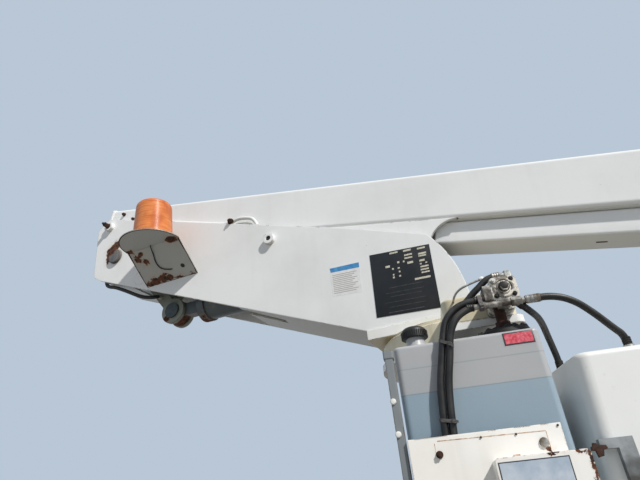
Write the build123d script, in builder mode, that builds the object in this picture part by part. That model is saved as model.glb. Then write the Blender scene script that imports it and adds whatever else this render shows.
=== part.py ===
from build123d import *
import math
import os

# Truck-mounted aerial lift: a pedestal with its service shelf, a turning turret,
# a two-stage boom with its lift cylinder, and a levelled bucket at the tip.
# Millimetres. The slew axis is Z, the pedestal's underside is Z = 0,
# +X runs towards the boom's tip and -Y is the side with the oil tank.

os.makedirs("parts", exist_ok=True)

# Driving dimensions

# pedestal and its flange
FLANGE_R = 300
FLANGE_T = 25
FLANGE_PCD = 520
FLANGE_BOLTS = 8
FLANGE_HOLE_R = 13
COLUMN_R = 162
COLUMN_WALL = 12
GUSSET_COUNT = 8
GUSSET_T = 12
GUSSET_H = 130
TOP_PLATE_Z = 925
TOP_PLATE_T = 20
TOP_PLATE_R = 220

# slewing ring and turret base plate
RING_R = 208
RING_BORE_R = 110
RING_TOP = 985.5
RING_GAP = 0.5
TURN_RING_R = 190
COLLAR_BOTTOM = 999
COLLAR_TOP = 1030
COLLAR_FRONT = -225
COLLAR_REAR = 160
COLLAR_HALF = 135
COLLAR_CORNER_R = 70

# the deck's own direction, turned from the stowed boom's
DECK_TURN = 11.7
DECK_C = math.cos(math.radians(DECK_TURN))
DECK_S = math.sin(math.radians(DECK_TURN))

# turret side plates
SIDE_T = 10
SIDE_GAP = 12
PIVOT_X = -1327
PIVOT_Z = 1616
BELLY_FRONT_X = -1398
BELLY_FRONT_Z = 1517
BELLY_SLOPE = (BELLY_FRONT_Z - COLLAR_TOP) / (COLLAR_FRONT - BELLY_FRONT_X)
PLATE_T = 8
TAIL_X = -300
TAIL_Z = 1057
TAIL_R = 405
CROSS_X = -1175
CROSS_Z = 1472
CROSS_R = 30
CROSS_WALL = 7

# lift cylinder
LIFT_X = -1071
LIFT_Z = 1331
LIFT_PIN_R = 25
LIFT_LUG_R = 54
LIFT_LUG_IN = 22
LIFT_LUG_T = 16
ROD_PIN_REACH = 1300
ROD_PIN_N = 1264
BARREL_R = 60
BARREL_RIM_R = 66
BARREL_BORE_R = 52
BARREL_GLAND_R = 64
BARREL_START = 168
BARREL_END = 885
GLAND_END = 915
ROD_R = 32
ROD_EYE_R = 45
ROD_EYE_HALF = 35
PIN_FIT = 0.05

# boom
BOOM_SLOPE = 13.35
BOOM_C = math.cos(math.radians(BOOM_SLOPE))
BOOM_S = math.sin(math.radians(BOOM_SLOPE))
BOOM_LOW = 1339
BOOM_H = 185
BOOM_W = 216
BOOM_WALL = 6
BOOM_EDGE_R = 14
BOOM_FRONT = -1796
BRACKET_REAR = -1720
BOOM_TIP = 2180
BOOM_MID = BOOM_LOW + BOOM_H / 2
SIDE_IN = BOOM_W / 2 + SIDE_GAP
SIDE_OUT = SIDE_IN + SIDE_T
BRACKET_T = 12
PIVOT_PIN_R = 33.5
INNER_W = 176
INNER_H = 145
INNER_REAR = -520
INNER_TIP = 2400
PAD_GAP = 0.5
PAD_LENGTH = 90
CARRIER_W = 119
CARRIER_H = 54
CARRIER_WALL = 5
CARRIER_Y = 20.5
CARRIER_FRONT = -264
CARRIER_REAR = 1900
TIP_PIVOT_U = 2480
TIP_PIN_R = 20

# bucket
BUCKET_TOP = 610
BUCKET_BASE = 560
BUCKET_H = 1067
BUCKET_WALL = 8
BUCKET_FLOOR_Z = 190
BUCKET_CORNER_R = 60
BUCKET_OFFSET = 96

# oil tank, shelf and cover, in the deck's own directions
TANK_LEFT = -161
TANK_RIGHT = 153
TANK_FRONT = -470
TANK_BACK = -215
TANK_TOP = 856
SHELF_Z = 392
SHELF_T = 10
APRON_GAP = 32
APRON_TOP = 657
COVER_TOP = 790
MOTOR_A = 105.5
MOTOR_Z = 950
MOTOR_W = 60
MOTOR_H = 56
MOTOR_FRONT = -480
MOTOR_BACK = -360
HOSE_R = 7.75
LEAD_R = 2.2


# Frames that the pieces are drawn in

def side_plane(y):
    """Upright plane at Y = y, drawn in X and Z, extruding towards -Y."""
    return Plane.XZ.offset(-y)


def boom_side(y):
    """Upright plane at Y = y, drawn along and across the stowed boom."""
    return Plane(origin=(0, y, 0), x_dir=(BOOM_C, 0, -BOOM_S), z_dir=(0, -1, 0))


def boom_section(u):
    """Plane across the boom at u along it, drawn in Y and across the boom."""
    return Plane(origin=(u * BOOM_C, 0, -u * BOOM_S), x_dir=(0, 1, 0), z_dir=(BOOM_C, 0, -BOOM_S))


def boom_point(u, n):
    """X and Z of a point u along and n across the stowed boom."""
    return (u * BOOM_C + n * BOOM_S, -u * BOOM_S + n * BOOM_C)


def deck_point(a, b, z):
    """World point of a along and b across the deck."""
    return (a * DECK_C - b * DECK_S, a * DECK_S + b * DECK_C, z)


def deck_plane(z):
    """Level plane at height z, drawn along and across the deck."""
    return Plane(origin=(0, 0, z), x_dir=(DECK_C, DECK_S, 0), z_dir=(0, 0, 1))


def deck_front(b):
    """Upright plane at b across the deck, drawn in a and Z, extruding to -b."""
    return Plane(origin=(-b * DECK_S, b * DECK_C, 0), x_dir=(DECK_C, DECK_S, 0), z_dir=(DECK_S, -DECK_C, 0))


def deck_side(a):
    """Upright plane at a along the deck, drawn in b and Z, extruding to +a."""
    return Plane(origin=(a * DECK_C, a * DECK_S, 0), x_dir=(-DECK_S, DECK_C, 0), z_dir=(DECK_C, DECK_S, 0))


def save(part, name):
    part.label = name
    export_step(part, "parts/" + name + ".step")


# Pedestal: flange, column, gussets and top plate

with BuildPart() as base_flange:
    with BuildSketch(Plane.XY):
        Circle(FLANGE_R)
        with PolarLocations(FLANGE_PCD / 2, FLANGE_BOLTS):
            Circle(FLANGE_HOLE_R, mode=Mode.SUBTRACT)
        Circle(COLUMN_R - COLUMN_WALL, mode=Mode.SUBTRACT)
    extrude(amount=FLANGE_T)
save(base_flange.part, "base_flange")

GUSSET_REACH = FLANGE_R - 12
with BuildPart() as pedestal_column:
    with BuildSketch(Plane.XZ):
        with BuildLine():
            Polyline(
                (COLUMN_R - 6, FLANGE_T), (GUSSET_REACH, FLANGE_T), (GUSSET_REACH, FLANGE_T + 18),
                (COLUMN_R + 14, FLANGE_T + GUSSET_H), (COLUMN_R - 6, FLANGE_T + GUSSET_H), close=True,
            )
        make_face()
    gusset = extrude(amount=GUSSET_T / 2, both=True, mode=Mode.PRIVATE)
    with PolarLocations(0, GUSSET_COUNT, start_angle=180 / FLANGE_BOLTS):
        add(gusset)
    with BuildSketch(Plane.XY.offset(FLANGE_T)):
        Circle(COLUMN_R)
    extrude(amount=TOP_PLATE_Z - TOP_PLATE_T - FLANGE_T)
    with BuildSketch(Plane.XY.offset(FLANGE_T)):
        Circle(COLUMN_R - COLUMN_WALL)
    extrude(amount=TOP_PLATE_Z - TOP_PLATE_T - FLANGE_T, mode=Mode.SUBTRACT)
save(pedestal_column.part, "pedestal_column")

EAR_LEFT = -40
EAR_RIGHT = 160
EAR_FRONT = -360
with BuildPart() as pedestal_top_plate:
    with BuildSketch(Plane.XY.offset(TOP_PLATE_Z - TOP_PLATE_T)):
        Circle(TOP_PLATE_R)
    extrude(amount=TOP_PLATE_T)
    with BuildSketch(deck_plane(TOP_PLATE_Z - TOP_PLATE_T)):
        with Locations(((EAR_LEFT + EAR_RIGHT) / 2, EAR_FRONT / 2)):
            RectangleRounded(EAR_RIGHT - EAR_LEFT, -EAR_FRONT, 20)
    extrude(amount=TOP_PLATE_T)
save(pedestal_top_plate.part, "pedestal_top_plate")

with BuildPart() as slewing_ring:
    with BuildSketch(Plane.XY.offset(TOP_PLATE_Z)):
        Circle(RING_R)
        Circle(RING_BORE_R, mode=Mode.SUBTRACT)
    extrude(amount=RING_TOP - TOP_PLATE_Z)
    chamfer(slewing_ring.edges().filter_by(GeomType.CIRCLE).group_by(Axis.Z)[-1].sort_by(SortBy.RADIUS)[-1], 4)
save(slewing_ring.part, "slewing_ring")

GEARBOX_TOP = 991
GEARBOX_LEFT = -28
with BuildPart() as slew_gearbox:
    with BuildSketch(deck_plane(TOP_PLATE_Z)):
        with Locations(((GEARBOX_LEFT + EAR_RIGHT - 12) / 2, (MOTOR_BACK - 130) / 2)):
            RectangleRounded(EAR_RIGHT - 12 - GEARBOX_LEFT, -130 - MOTOR_BACK, 26)
    extrude(amount=GEARBOX_TOP - TOP_PLATE_Z)
    fillet(slew_gearbox.faces().sort_by(Axis.Z)[-1].edges(), 8)
    with BuildSketch(Plane.XY.offset(TOP_PLATE_Z)):
        Circle(RING_R + 0.5)
    extrude(amount=GEARBOX_TOP - TOP_PLATE_Z, mode=Mode.SUBTRACT)
save(slew_gearbox.part, "slew_gearbox")

# Swing motor: square end cap, round gear set and square body, one behind another
MOTOR_CAP_T = 24
MOTOR_DRUM_T = 44
MOTOR_HUB_R = 14
with BuildPart() as swing_motor:
    with BuildSketch(deck_front(MOTOR_BACK)):
        with Locations((MOTOR_A, MOTOR_Z)):
            RectangleRounded(MOTOR_W, MOTOR_H, 10)
    extrude(amount=MOTOR_BACK - MOTOR_FRONT - MOTOR_CAP_T - MOTOR_DRUM_T)
    with BuildSketch(deck_front(MOTOR_FRONT + MOTOR_CAP_T + MOTOR_DRUM_T)):
        with Locations((MOTOR_A, MOTOR_Z)):
            Circle(MOTOR_H / 2 - 1)
    extrude(amount=MOTOR_DRUM_T)
    with BuildSketch(deck_front(MOTOR_FRONT + MOTOR_CAP_T)):
        with Locations((MOTOR_A, MOTOR_Z)):
            RectangleRounded(MOTOR_W, MOTOR_H, 12)
    extrude(amount=MOTOR_CAP_T)
    with BuildSketch(deck_front(MOTOR_FRONT)):
        with Locations((MOTOR_A, MOTOR_Z)):
            Circle(MOTOR_HUB_R)
    extrude(amount=5)
    with BuildSketch(deck_front(MOTOR_FRONT - 5)):
        with Locations((MOTOR_A, MOTOR_Z)):
            RegularPolygon(10, 6)
    extrude(amount=9)
save(swing_motor.part, "swing_motor")

# Port manifold under the motor: a cross tube with a nut at each end, hung from the
# motor by a saddle, the motor's own port block and a branch for the middle hose
MANIFOLD_B = -488
MANIFOLD_Z = 912.5
MANIFOLD_RUNS = [(30, 44, 6.5), (44, 56, 9), (56, 110, 7), (132, 140, 6), (140, 172, 8.5)]
PORT_LEFT = 58
BRANCH_START = (121, -488, 912.5)
BRANCH_END = (133.9, -474.6, 905)
BRANCH_WAY = Vector(*deck_point(*BRANCH_END)) - Vector(*deck_point(*BRANCH_START))
with BuildPart() as motor_manifold:
    for run_left, run_right, run_r in MANIFOLD_RUNS:
        with BuildSketch(deck_side(run_left)):
            with Locations((MANIFOLD_B, MANIFOLD_Z)):
                Circle(run_r)
        extrude(amount=run_right - run_left)
    with BuildSketch(deck_side(110)):
        with Locations((MANIFOLD_B, MANIFOLD_Z)):
            RegularPolygon(10.4, 6)
    extrude(amount=22)
    with BuildSketch(deck_side(84)):
        with Locations((-476, MOTOR_Z - MOTOR_H / 2 - 7)):
            Rectangle(28, 14)
    extrude(amount=20)
    with BuildSketch(deck_side(PORT_LEFT)):
        with Locations((-466, 939.25)):
            RectangleRounded(52, 37.5, 4)
    extrude(amount=MOTOR_A - MOTOR_W / 2 - PORT_LEFT)
    with BuildSketch(Plane(origin=deck_point(*BRANCH_START), z_dir=BRANCH_WAY)):
        Circle(8.5)
    extrude(amount=BRANCH_WAY.length)
save(motor_manifold.part, "motor_manifold")

# Oil tank with its cap, lid and drain stem

with BuildPart() as reservoir:
    with BuildSketch(deck_plane(SHELF_Z)):
        with Locations(((TANK_LEFT + TANK_RIGHT) / 2, (TANK_FRONT + TANK_BACK) / 2)):
            RectangleRounded(TANK_RIGHT - TANK_LEFT, TANK_BACK - TANK_FRONT, 14)
    extrude(amount=TANK_TOP - SHELF_Z)
    fillet(reservoir.faces().sort_by(Axis.Z)[-1].edges(), 8)
save(reservoir.part, "reservoir")

CAP_A = -108.6
CAP_B = -425
CAP_NECK_H = 24
with BuildPart() as filler_cap:
    with BuildSketch(deck_plane(TANK_TOP)):
        with Locations((CAP_A, CAP_B)):
            Circle(22.5)
    extrude(amount=CAP_NECK_H)
    with BuildSketch(deck_plane(TANK_TOP + CAP_NECK_H)):
        with Locations((CAP_A, CAP_B)):
            Circle(31)
    extrude(amount=28)
    fillet(filler_cap.edges().group_by(Axis.Z)[-1], 12)
save(filler_cap.part, "filler_cap")

LID_A = 92
LID_B = -405
LID_R = 60
LID_T = 24
LID_TOP_T = 12
STEM_A = 90
STEM_B = -440
STEM_R = 12
with BuildPart() as reservoir_lid:
    with BuildSketch(deck_plane(TANK_TOP)):
        with Locations((LID_A, LID_B)):
            Circle(LID_R)
    extrude(amount=LID_T)
    fillet(reservoir_lid.edges().group_by(Axis.Z)[-1], 4)
    with BuildSketch(deck_plane(TANK_TOP + LID_T)):
        with Locations((LID_A, LID_B)):
            Circle(LID_R - 15)
    extrude(amount=LID_TOP_T)
    with BuildSketch(deck_plane(TANK_TOP + LID_T + LID_TOP_T)):
        with Locations((STEM_A, STEM_B)):
            RegularPolygon(16, 6)
    extrude(amount=14)
    with BuildSketch(deck_plane(TANK_TOP + LID_T + LID_TOP_T)):
        with Locations((STEM_A, STEM_B)):
            Circle(STEM_R)
    extrude(amount=50)
    with BuildSketch(deck_front(-400)):
        with Locations((MOTOR_A, MOTOR_Z)):
            Circle(MOTOR_H / 2 - 1)
    extrude(amount=80, mode=Mode.SUBTRACT)
save(reservoir_lid.part, "reservoir_lid")

# Service shelf: rails on two gusset brackets, the shelf plate and its front apron

SHELF_LEFT = -186
SHELF_RIGHT = 590
SHELF_BACK = -205
APRON_BACK = TANK_FRONT - APRON_GAP
APRON_T = 8
RAIL_H = 40
RAIL_Z = SHELF_Z - SHELF_T - RAIL_H
with BuildPart() as service_shelf:
    with BuildSketch(deck_side(SHELF_LEFT)):
        with BuildLine():
            Polyline(
                (SHELF_BACK, SHELF_Z - SHELF_T), (SHELF_BACK, SHELF_Z), (APRON_BACK, SHELF_Z),
                (APRON_BACK, SHELF_Z + 40), (APRON_BACK - APRON_T, SHELF_Z + 40),
                (APRON_BACK - APRON_T, SHELF_Z - SHELF_T), close=True,
            )
        make_face()
    extrude(amount=SHELF_RIGHT - SHELF_LEFT)
save(service_shelf.part, "service_shelf")

with BuildPart() as tank_apron:
    with BuildSketch(deck_front(APRON_BACK)):
        with BuildLine():
            Polyline(
                (TANK_LEFT, SHELF_Z + 40), (TANK_LEFT, APRON_TOP), (128, APRON_TOP),
                (128, SHELF_Z + 40), close=True,
            )
        make_face()
    extrude(amount=APRON_T)
save(tank_apron.part, "tank_apron")

with BuildPart() as shelf_frame:
    with BuildSketch(deck_side(SHELF_LEFT)):
        for rail_b in (-460, -270):
            with Locations((rail_b, RAIL_Z + RAIL_H / 2)):
                Rectangle(RAIL_H, RAIL_H)
    extrude(amount=SHELF_RIGHT - SHELF_LEFT)
    for bracket_a in (-90, 90):
        with BuildSketch(deck_side(bracket_a - 6)):
            with BuildLine():
                Polyline((-110, RAIL_Z), (-482, RAIL_Z), (-482, RAIL_Z - 40), (-110, 175), close=True)
            make_face()
        extrude(amount=12)
    with BuildSketch(Plane.XY.offset(100)):
        Circle(COLUMN_R)
    extrude(amount=300, mode=Mode.SUBTRACT)
save(shelf_frame.part, "shelf_frame")

UPRIGHT_A = -172.6
UPRIGHT_B = -490
UPRIGHT_TOP = 824
with BuildPart() as tank_upright:
    with BuildSketch(deck_plane(SHELF_Z)):
        with Locations((UPRIGHT_A, UPRIGHT_B)):
            Rectangle(17, 24)
    extrude(amount=UPRIGHT_TOP - SHELF_Z)
    with BuildSketch(deck_plane(UPRIGHT_TOP)):
        with Locations((UPRIGHT_A, UPRIGHT_B)):
            RectangleRounded(22, 26, 3)
    extrude(amount=16)
save(tank_upright.part, "tank_upright")

VALVE_LEFT = -12
VALVE_RIGHT = 151
VALVE_TOP = 604.5
VALVE_FRONT = -562
with BuildPart() as valve_cover:
    with BuildSketch(deck_front(APRON_BACK - APRON_T)):
        with Locations(((VALVE_LEFT + VALVE_RIGHT) / 2, (VALVE_TOP + 440) / 2)):
            RectangleRounded(VALVE_RIGHT - VALVE_LEFT, VALVE_TOP - 440, 8)
    extrude(amount=APRON_BACK - APRON_T - VALVE_FRONT)
save(valve_cover.part, "valve_cover")

COVER_FOOT = [(185, TANK_FRONT), (560, TANK_FRONT), (560, TANK_BACK), (157, TANK_BACK)]
COVER_HEAD = [(206, TANK_FRONT), (560, TANK_FRONT), (560, TANK_BACK), (178, TANK_BACK)]
with BuildPart() as power_pack_cover:
    for cover_z, cover_outline in ((SHELF_Z, COVER_FOOT), (COVER_TOP, COVER_HEAD)):
        with BuildSketch(deck_plane(cover_z)):
            with BuildLine():
                Polyline(*cover_outline, close=True)
            make_face()
    loft(ruled=True)
    corners = power_pack_cover.edges().filter_by(lambda edge: abs((edge @ 1 - edge @ 0).Z) > 100)
    corners = corners.sort_by(lambda edge: (edge @ 0.5).X + (edge @ 0.5).Y)
    fillet(corners[0], 28)
    corners = power_pack_cover.edges().filter_by(lambda edge: abs((edge @ 1 - edge @ 0).Z) > 100)
    corners = corners.sort_by(lambda edge: (edge @ 0.5).X + (edge @ 0.5).Y)
    fillet(corners[2:], 30)
    fillet(power_pack_cover.faces().sort_by(Axis.Z)[-1].edges(), 12)
save(power_pack_cover.part, "power_pack_cover")

with BuildPart() as latch_frame:
    with BuildSketch(deck_front(TANK_FRONT)):
        with BuildLine():
            Polyline((190, 604.5), (190, 622), (250, 622), (250, 545), (221, 545), (221, 604.5), close=True)
        make_face()
    extrude(amount=16)
save(latch_frame.part, "latch_frame")

HOSE_BLOCK_TOP = 560
HOSE_BLOCK_H = 44
HOSE_BLOCK_A = -80
COVER_GLANDS = [(323, -440), (216, -300)]
TANK_GLAND = (-42, -430)
ELBOW = (126, -455)
ELBOW_Z = 990
GLAND_R = 11
with BuildPart() as hose_fittings:
    with BuildSketch(deck_plane(HOSE_BLOCK_TOP - HOSE_BLOCK_H)):
        with Locations((HOSE_BLOCK_A, APRON_BACK + 14)):
            RectangleRounded(56, 28, 4)
    extrude(amount=HOSE_BLOCK_H)
    with BuildSketch(deck_plane(COVER_TOP)):
        with Locations(*COVER_GLANDS):
            Circle(GLAND_R)
    extrude(amount=6)
    with BuildSketch(deck_plane(TANK_TOP)):
        with Locations(TANK_GLAND):
            Circle(GLAND_R)
    extrude(amount=8)
    with BuildSketch(deck_plane(MOTOR_Z + MOTOR_H / 2)):
        with Locations(ELBOW):
            RectangleRounded(16, 16, 3)
    extrude(amount=20)
    with BuildSketch(deck_side(ELBOW[0] - 16)):
        with Locations((ELBOW[1], ELBOW_Z)):
            Circle(6.5)
    extrude(amount=12)
save(hose_fittings.part, "hose_fittings")

# Hoses. Each route is a list of (a, b, z) points on the deck, chosen by hand.
HOSE_ROUTES = {
    "hose_outer": [
        (58, -483, 929), (16, -483, 929), (-14, -483, 917), (-37, -483.5, 894), (-47, -484, 866),
        (-58.5, -484.5, 820), (-73.5, -486, 765), (-80, -486, 715), (-85.5, -486.5, 650), (-88, -487, 600),
        (-88, -487, 560),
    ],
    "hose_inner": [
        (30, -488, 912.5), (20, -488, 912.5), (-10, -491, 897), (-25.5, -491, 876.5), (-36, -490, 850),
        (-42, -489, 818), (-56.5, -487, 765), (-64, -487, 715), (-69.5, -487, 650), (-72, -487, 600),
        (-72, -487, 560),
    ],
    "hose_right": [
        (172, -488, 912.5), (196, -488, 912.5), (237, -480, 898), (272, -466, 868), (303, -452, 834),
        (323, -440, 818), (323, -440, 796),
    ],
    "hose_middle": [
        (133.9, -474.6, 905), (152, -455.7, 894.5), (172, -420, 889.5), (187, -380, 882), (198, -345, 870),
        (210, -312, 846), (216, -300, 818), (216, -300, 796),
    ],
    "hose_return": [
        (110, -455, 990), (85, -455, 990), (69, -455, 980), (55.6, -455, 968.7), (40.8, -455, 958),
        (21, -450, 940), (-2.5, -445, 925), (-22.5, -440, 906), (-36, -434, 884), (-42, -430, 876),
        (-42, -430, 864),
    ],
}


def arc_radii(points):
    """The radius of each corner: as large as its two runs allow."""
    radii = []
    for before, corner, after in zip(points, points[1:], points[2:]):
        run_in = corner - before
        run_out = after - corner
        half_turn = math.radians(run_in.get_angle(run_out)) / 2
        radii.append(0.45 * min(run_in.length, run_out.length) / math.tan(half_turn))
    return radii


def run_hose(name, hose_points, radius):
    """Sweep a round hose or lead through its points and save it."""
    hose_radii = arc_radii(hose_points)
    with BuildPart() as hose:
        with BuildLine():
            hose_path = FilletPolyline(*hose_points, radius=hose_radii)
        with BuildSketch(Plane(origin=hose_path @ 0, z_dir=hose_path % 0)):
            Circle(radius)
        sweep(path=hose_path)
    print(name, "length", round(hose_path.length), "radii", [round(r) for r in hose_radii])
    print("  volume share", round(hose.part.volume / (math.pi * radius ** 2 * hose_path.length), 4))
    save(hose.part, name)


for hose_name, route in HOSE_ROUTES.items():
    run_hose(hose_name, [Vector(*deck_point(*point)) for point in route], HOSE_R)

# Turret: base plate on the turning ring, two side plates and what joins them

with BuildPart() as turning_ring:
    with BuildSketch(Plane.XY.offset(RING_TOP + RING_GAP)):
        Circle(TURN_RING_R)
        Circle(RING_BORE_R, mode=Mode.SUBTRACT)
    extrude(amount=COLLAR_BOTTOM - RING_TOP - RING_GAP)
save(turning_ring.part, "turning_ring")

with BuildPart() as turret_base:
    with BuildSketch(Plane.XY.offset(COLLAR_BOTTOM)) as collar_outline:
        with Locations(((COLLAR_FRONT + COLLAR_REAR) / 2, 0)):
            Rectangle(COLLAR_REAR - COLLAR_FRONT, 2 * COLLAR_HALF)
        fillet(collar_outline.vertices().group_by(Axis.X)[-1], COLLAR_CORNER_R)
        Circle(RING_BORE_R - 30, mode=Mode.SUBTRACT)
    extrude(amount=COLLAR_TOP - COLLAR_BOTTOM)
save(turret_base.part, "turret_base")

TAIL_TOP_ANGLE = 38
TAIL_LOW_ANGLE = math.degrees(math.asin((COLLAR_TOP - TAIL_Z) / TAIL_R))
TAIL_TOP = (
    TAIL_X + TAIL_R * math.cos(math.radians(TAIL_TOP_ANGLE)),
    TAIL_Z + TAIL_R * math.sin(math.radians(TAIL_TOP_ANGLE)),
)
NOSE_TOP = (-1395, 1834)
NOSE_FRONT = (-1458, 1790)
NOSE_LOW = (-1444, 1545)
TOP_KNEE = (-267, 1422)


def turret_side(y_outer):
    """One side plate, its outer or inner face at y_outer, growing towards -Y."""
    with BuildPart() as side:
        with BuildSketch(side_plane(y_outer)):
            with BuildLine():
                Polyline(
                    TAIL_TOP, TOP_KNEE, (-1022, 1700), NOSE_TOP, NOSE_FRONT, NOSE_LOW,
                    (BELLY_FRONT_X, BELLY_FRONT_Z), (COLLAR_FRONT, COLLAR_TOP),
                    (TAIL_X + TAIL_R * math.cos(math.radians(TAIL_LOW_ANGLE)), COLLAR_TOP),
                )
                CenterArc((TAIL_X, TAIL_Z), TAIL_R, TAIL_LOW_ANGLE, TAIL_TOP_ANGLE - TAIL_LOW_ANGLE)
            make_face()
        extrude(amount=SIDE_T)
        nose_edges = side.edges().filter_by(Axis.Y).sort_by(Axis.X)
        fillet(nose_edges[0:3], 30)
        with BuildSketch(side_plane(y_outer)):
            with Locations((PIVOT_X, PIVOT_Z)):
                Circle(PIVOT_PIN_R)
            with Locations((CROSS_X, CROSS_Z)):
                Circle(CROSS_R)
        extrude(amount=SIDE_T, mode=Mode.SUBTRACT)
    return side.part


save(turret_side(-SIDE_IN), "turret_side_near")
save(turret_side(SIDE_OUT), "turret_side_far")


def belly_z(x):
    """Height of the side plates' lower edge at x."""
    return COLLAR_TOP + (COLLAR_FRONT - x) * BELLY_SLOPE


BELLY_END = -700
BELLY_SLOT = [(-720, -92), (-672, -98), (-545, -54), (-556, -12), (-720, -45)]
NOSE_START = BELLY_FRONT_X + 14
NOSE_END = -1215
with BuildPart() as turret_belly:
    with BuildSketch(Plane.XZ):
        with BuildLine():
            Polyline(
                (COLLAR_FRONT, COLLAR_TOP), (BELLY_END, belly_z(BELLY_END)),
                (BELLY_END, belly_z(BELLY_END) + PLATE_T), (COLLAR_FRONT + 20, COLLAR_TOP),
                close=True,
            )
        make_face()
        with BuildLine():
            Polyline(
                (NOSE_START, belly_z(NOSE_START)), (NOSE_END, belly_z(NOSE_END)),
                (NOSE_END, belly_z(NOSE_END) + PLATE_T), (NOSE_START, belly_z(NOSE_START) + PLATE_T),
                close=True,
            )
        make_face()
    extrude(amount=SIDE_IN, both=True)
    with BuildSketch(Plane.XY.offset(COLLAR_TOP)):
        with BuildLine():
            Polyline(*BELLY_SLOT, close=True)
        make_face()
    extrude(amount=300, mode=Mode.SUBTRACT)
save(turret_belly.part, "turret_belly")

WRAP_TOP_ANGLE = 25
with BuildPart() as turret_rear_wrap:
    with BuildSketch(Plane.XZ):
        with BuildLine():
            outer_arc = CenterArc((TAIL_X, TAIL_Z), TAIL_R, TAIL_LOW_ANGLE, WRAP_TOP_ANGLE - TAIL_LOW_ANGLE)
            inner_low = math.degrees(math.asin((COLLAR_TOP - TAIL_Z) / (TAIL_R - PLATE_T)))
            inner_arc = CenterArc((TAIL_X, TAIL_Z), TAIL_R - PLATE_T, inner_low, WRAP_TOP_ANGLE - inner_low)
            Line(outer_arc @ 0, inner_arc @ 0)
            Line(outer_arc @ 1, inner_arc @ 1)
        make_face()
    extrude(amount=SIDE_IN, both=True)
save(turret_rear_wrap.part, "turret_rear_wrap")

with BuildPart() as cylinder_lugs:
    for lug_y in (-LIFT_LUG_IN, LIFT_LUG_IN + LIFT_LUG_T):
        with BuildSketch(side_plane(lug_y)):
            with Locations((LIFT_X, LIFT_Z)):
                Circle(LIFT_PIN_R)
            with Locations((CROSS_X, CROSS_Z)):
                Circle(CROSS_R + 1)
            make_hull()
            with Locations((LIFT_X, LIFT_Z)):
                Circle(LIFT_LUG_R)
                Circle(LIFT_PIN_R, mode=Mode.SUBTRACT)
        extrude(amount=LIFT_LUG_T)
    with BuildSketch(Plane.XZ):
        with Locations((CROSS_X, CROSS_Z)):
            Circle(CROSS_R)
    extrude(amount=SIDE_OUT, both=True)
    with BuildSketch(Plane.XZ):
        with Locations((CROSS_X, CROSS_Z)):
            Circle(CROSS_R - CROSS_WALL)
    extrude(amount=SIDE_OUT, both=True, mode=Mode.SUBTRACT)
save(cylinder_lugs.part, "cylinder_lugs")

with BuildPart() as lift_base_pin:
    with BuildSketch(Plane.XZ):
        with Locations((LIFT_X, LIFT_Z)):
            Circle(LIFT_PIN_R)
    extrude(amount=LIFT_LUG_IN + LIFT_LUG_T, both=True)
    for head_y in (-LIFT_LUG_IN - LIFT_LUG_T, LIFT_LUG_IN + LIFT_LUG_T + 8):
        with BuildSketch(side_plane(head_y)):
            with Locations((LIFT_X, LIFT_Z)):
                Circle(LIFT_PIN_R + 7)
        extrude(amount=8)
save(lift_base_pin.part, "lift_base_pin")

WASHER_T = SIDE_IN - BOOM_W / 2 - 0.3
with BuildPart() as pivot_pin:
    with BuildSketch(Plane.XZ):
        with Locations((PIVOT_X, PIVOT_Z)):
            Circle(PIVOT_PIN_R)
    extrude(amount=SIDE_OUT + 12, both=True)
    chamfer(pivot_pin.edges().filter_by(GeomType.CIRCLE), 3)
    for washer_y in (-SIDE_IN + WASHER_T, SIDE_IN):
        with BuildSketch(side_plane(washer_y)):
            with Locations((PIVOT_X, PIVOT_Z)):
                Circle(PIVOT_PIN_R + 18)
        extrude(amount=WASHER_T)
save(pivot_pin.part, "pivot_pin")

SLEEVE_R = 22
SLEEVE_BORE_R = 10
SLEEVE_PROUD = 16
SLEEVES = [(-554, 1463), (-1385, 1786)]
with BuildPart() as rope_sleeves:
    for outer_y in (-SIDE_OUT, SIDE_OUT + SLEEVE_PROUD):
        with BuildSketch(side_plane(outer_y)):
            with Locations(*SLEEVES):
                Circle(SLEEVE_R)
                Circle(SLEEVE_BORE_R, mode=Mode.SUBTRACT)
        extrude(amount=SLEEVE_PROUD)
save(rope_sleeves.part, "rope_sleeves")

# Beacon on its bent bracket
BEACON_X = -1004.5
BEACON_REACH = 128
BEACON_Y = -SIDE_OUT - BEACON_REACH
BEACON_PLATE_Z = 1515
BEACON_HALF = 124
BEACON_PLATE_T = 4
BEACON_FOOT_Z = 1414
with BuildPart() as beacon_bracket:
    with BuildSketch(Plane.XY.offset(BEACON_PLATE_Z)):
        with Locations((BEACON_X, BEACON_Y)):
            Circle(BEACON_HALF)
        with Locations((BEACON_X, BEACON_Y + BEACON_HALF)):
            Rectangle(2 * BEACON_HALF, 2 * BEACON_HALF, mode=Mode.SUBTRACT)
    extrude(amount=BEACON_PLATE_T)
    with BuildSketch(Plane(origin=(BEACON_X - BEACON_HALF, 0, 0), x_dir=(0, 1, 0), z_dir=(1, 0, 0))):
        with BuildLine():
            Polyline(
                (BEACON_Y, BEACON_PLATE_Z), (-SIDE_OUT, BEACON_FOOT_Z), (-SIDE_OUT, BEACON_FOOT_Z + 6),
                (BEACON_Y, BEACON_PLATE_Z + BEACON_PLATE_T), close=True,
            )
        make_face()
    extrude(amount=2 * BEACON_HALF)
save(beacon_bracket.part, "beacon_bracket")

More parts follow.
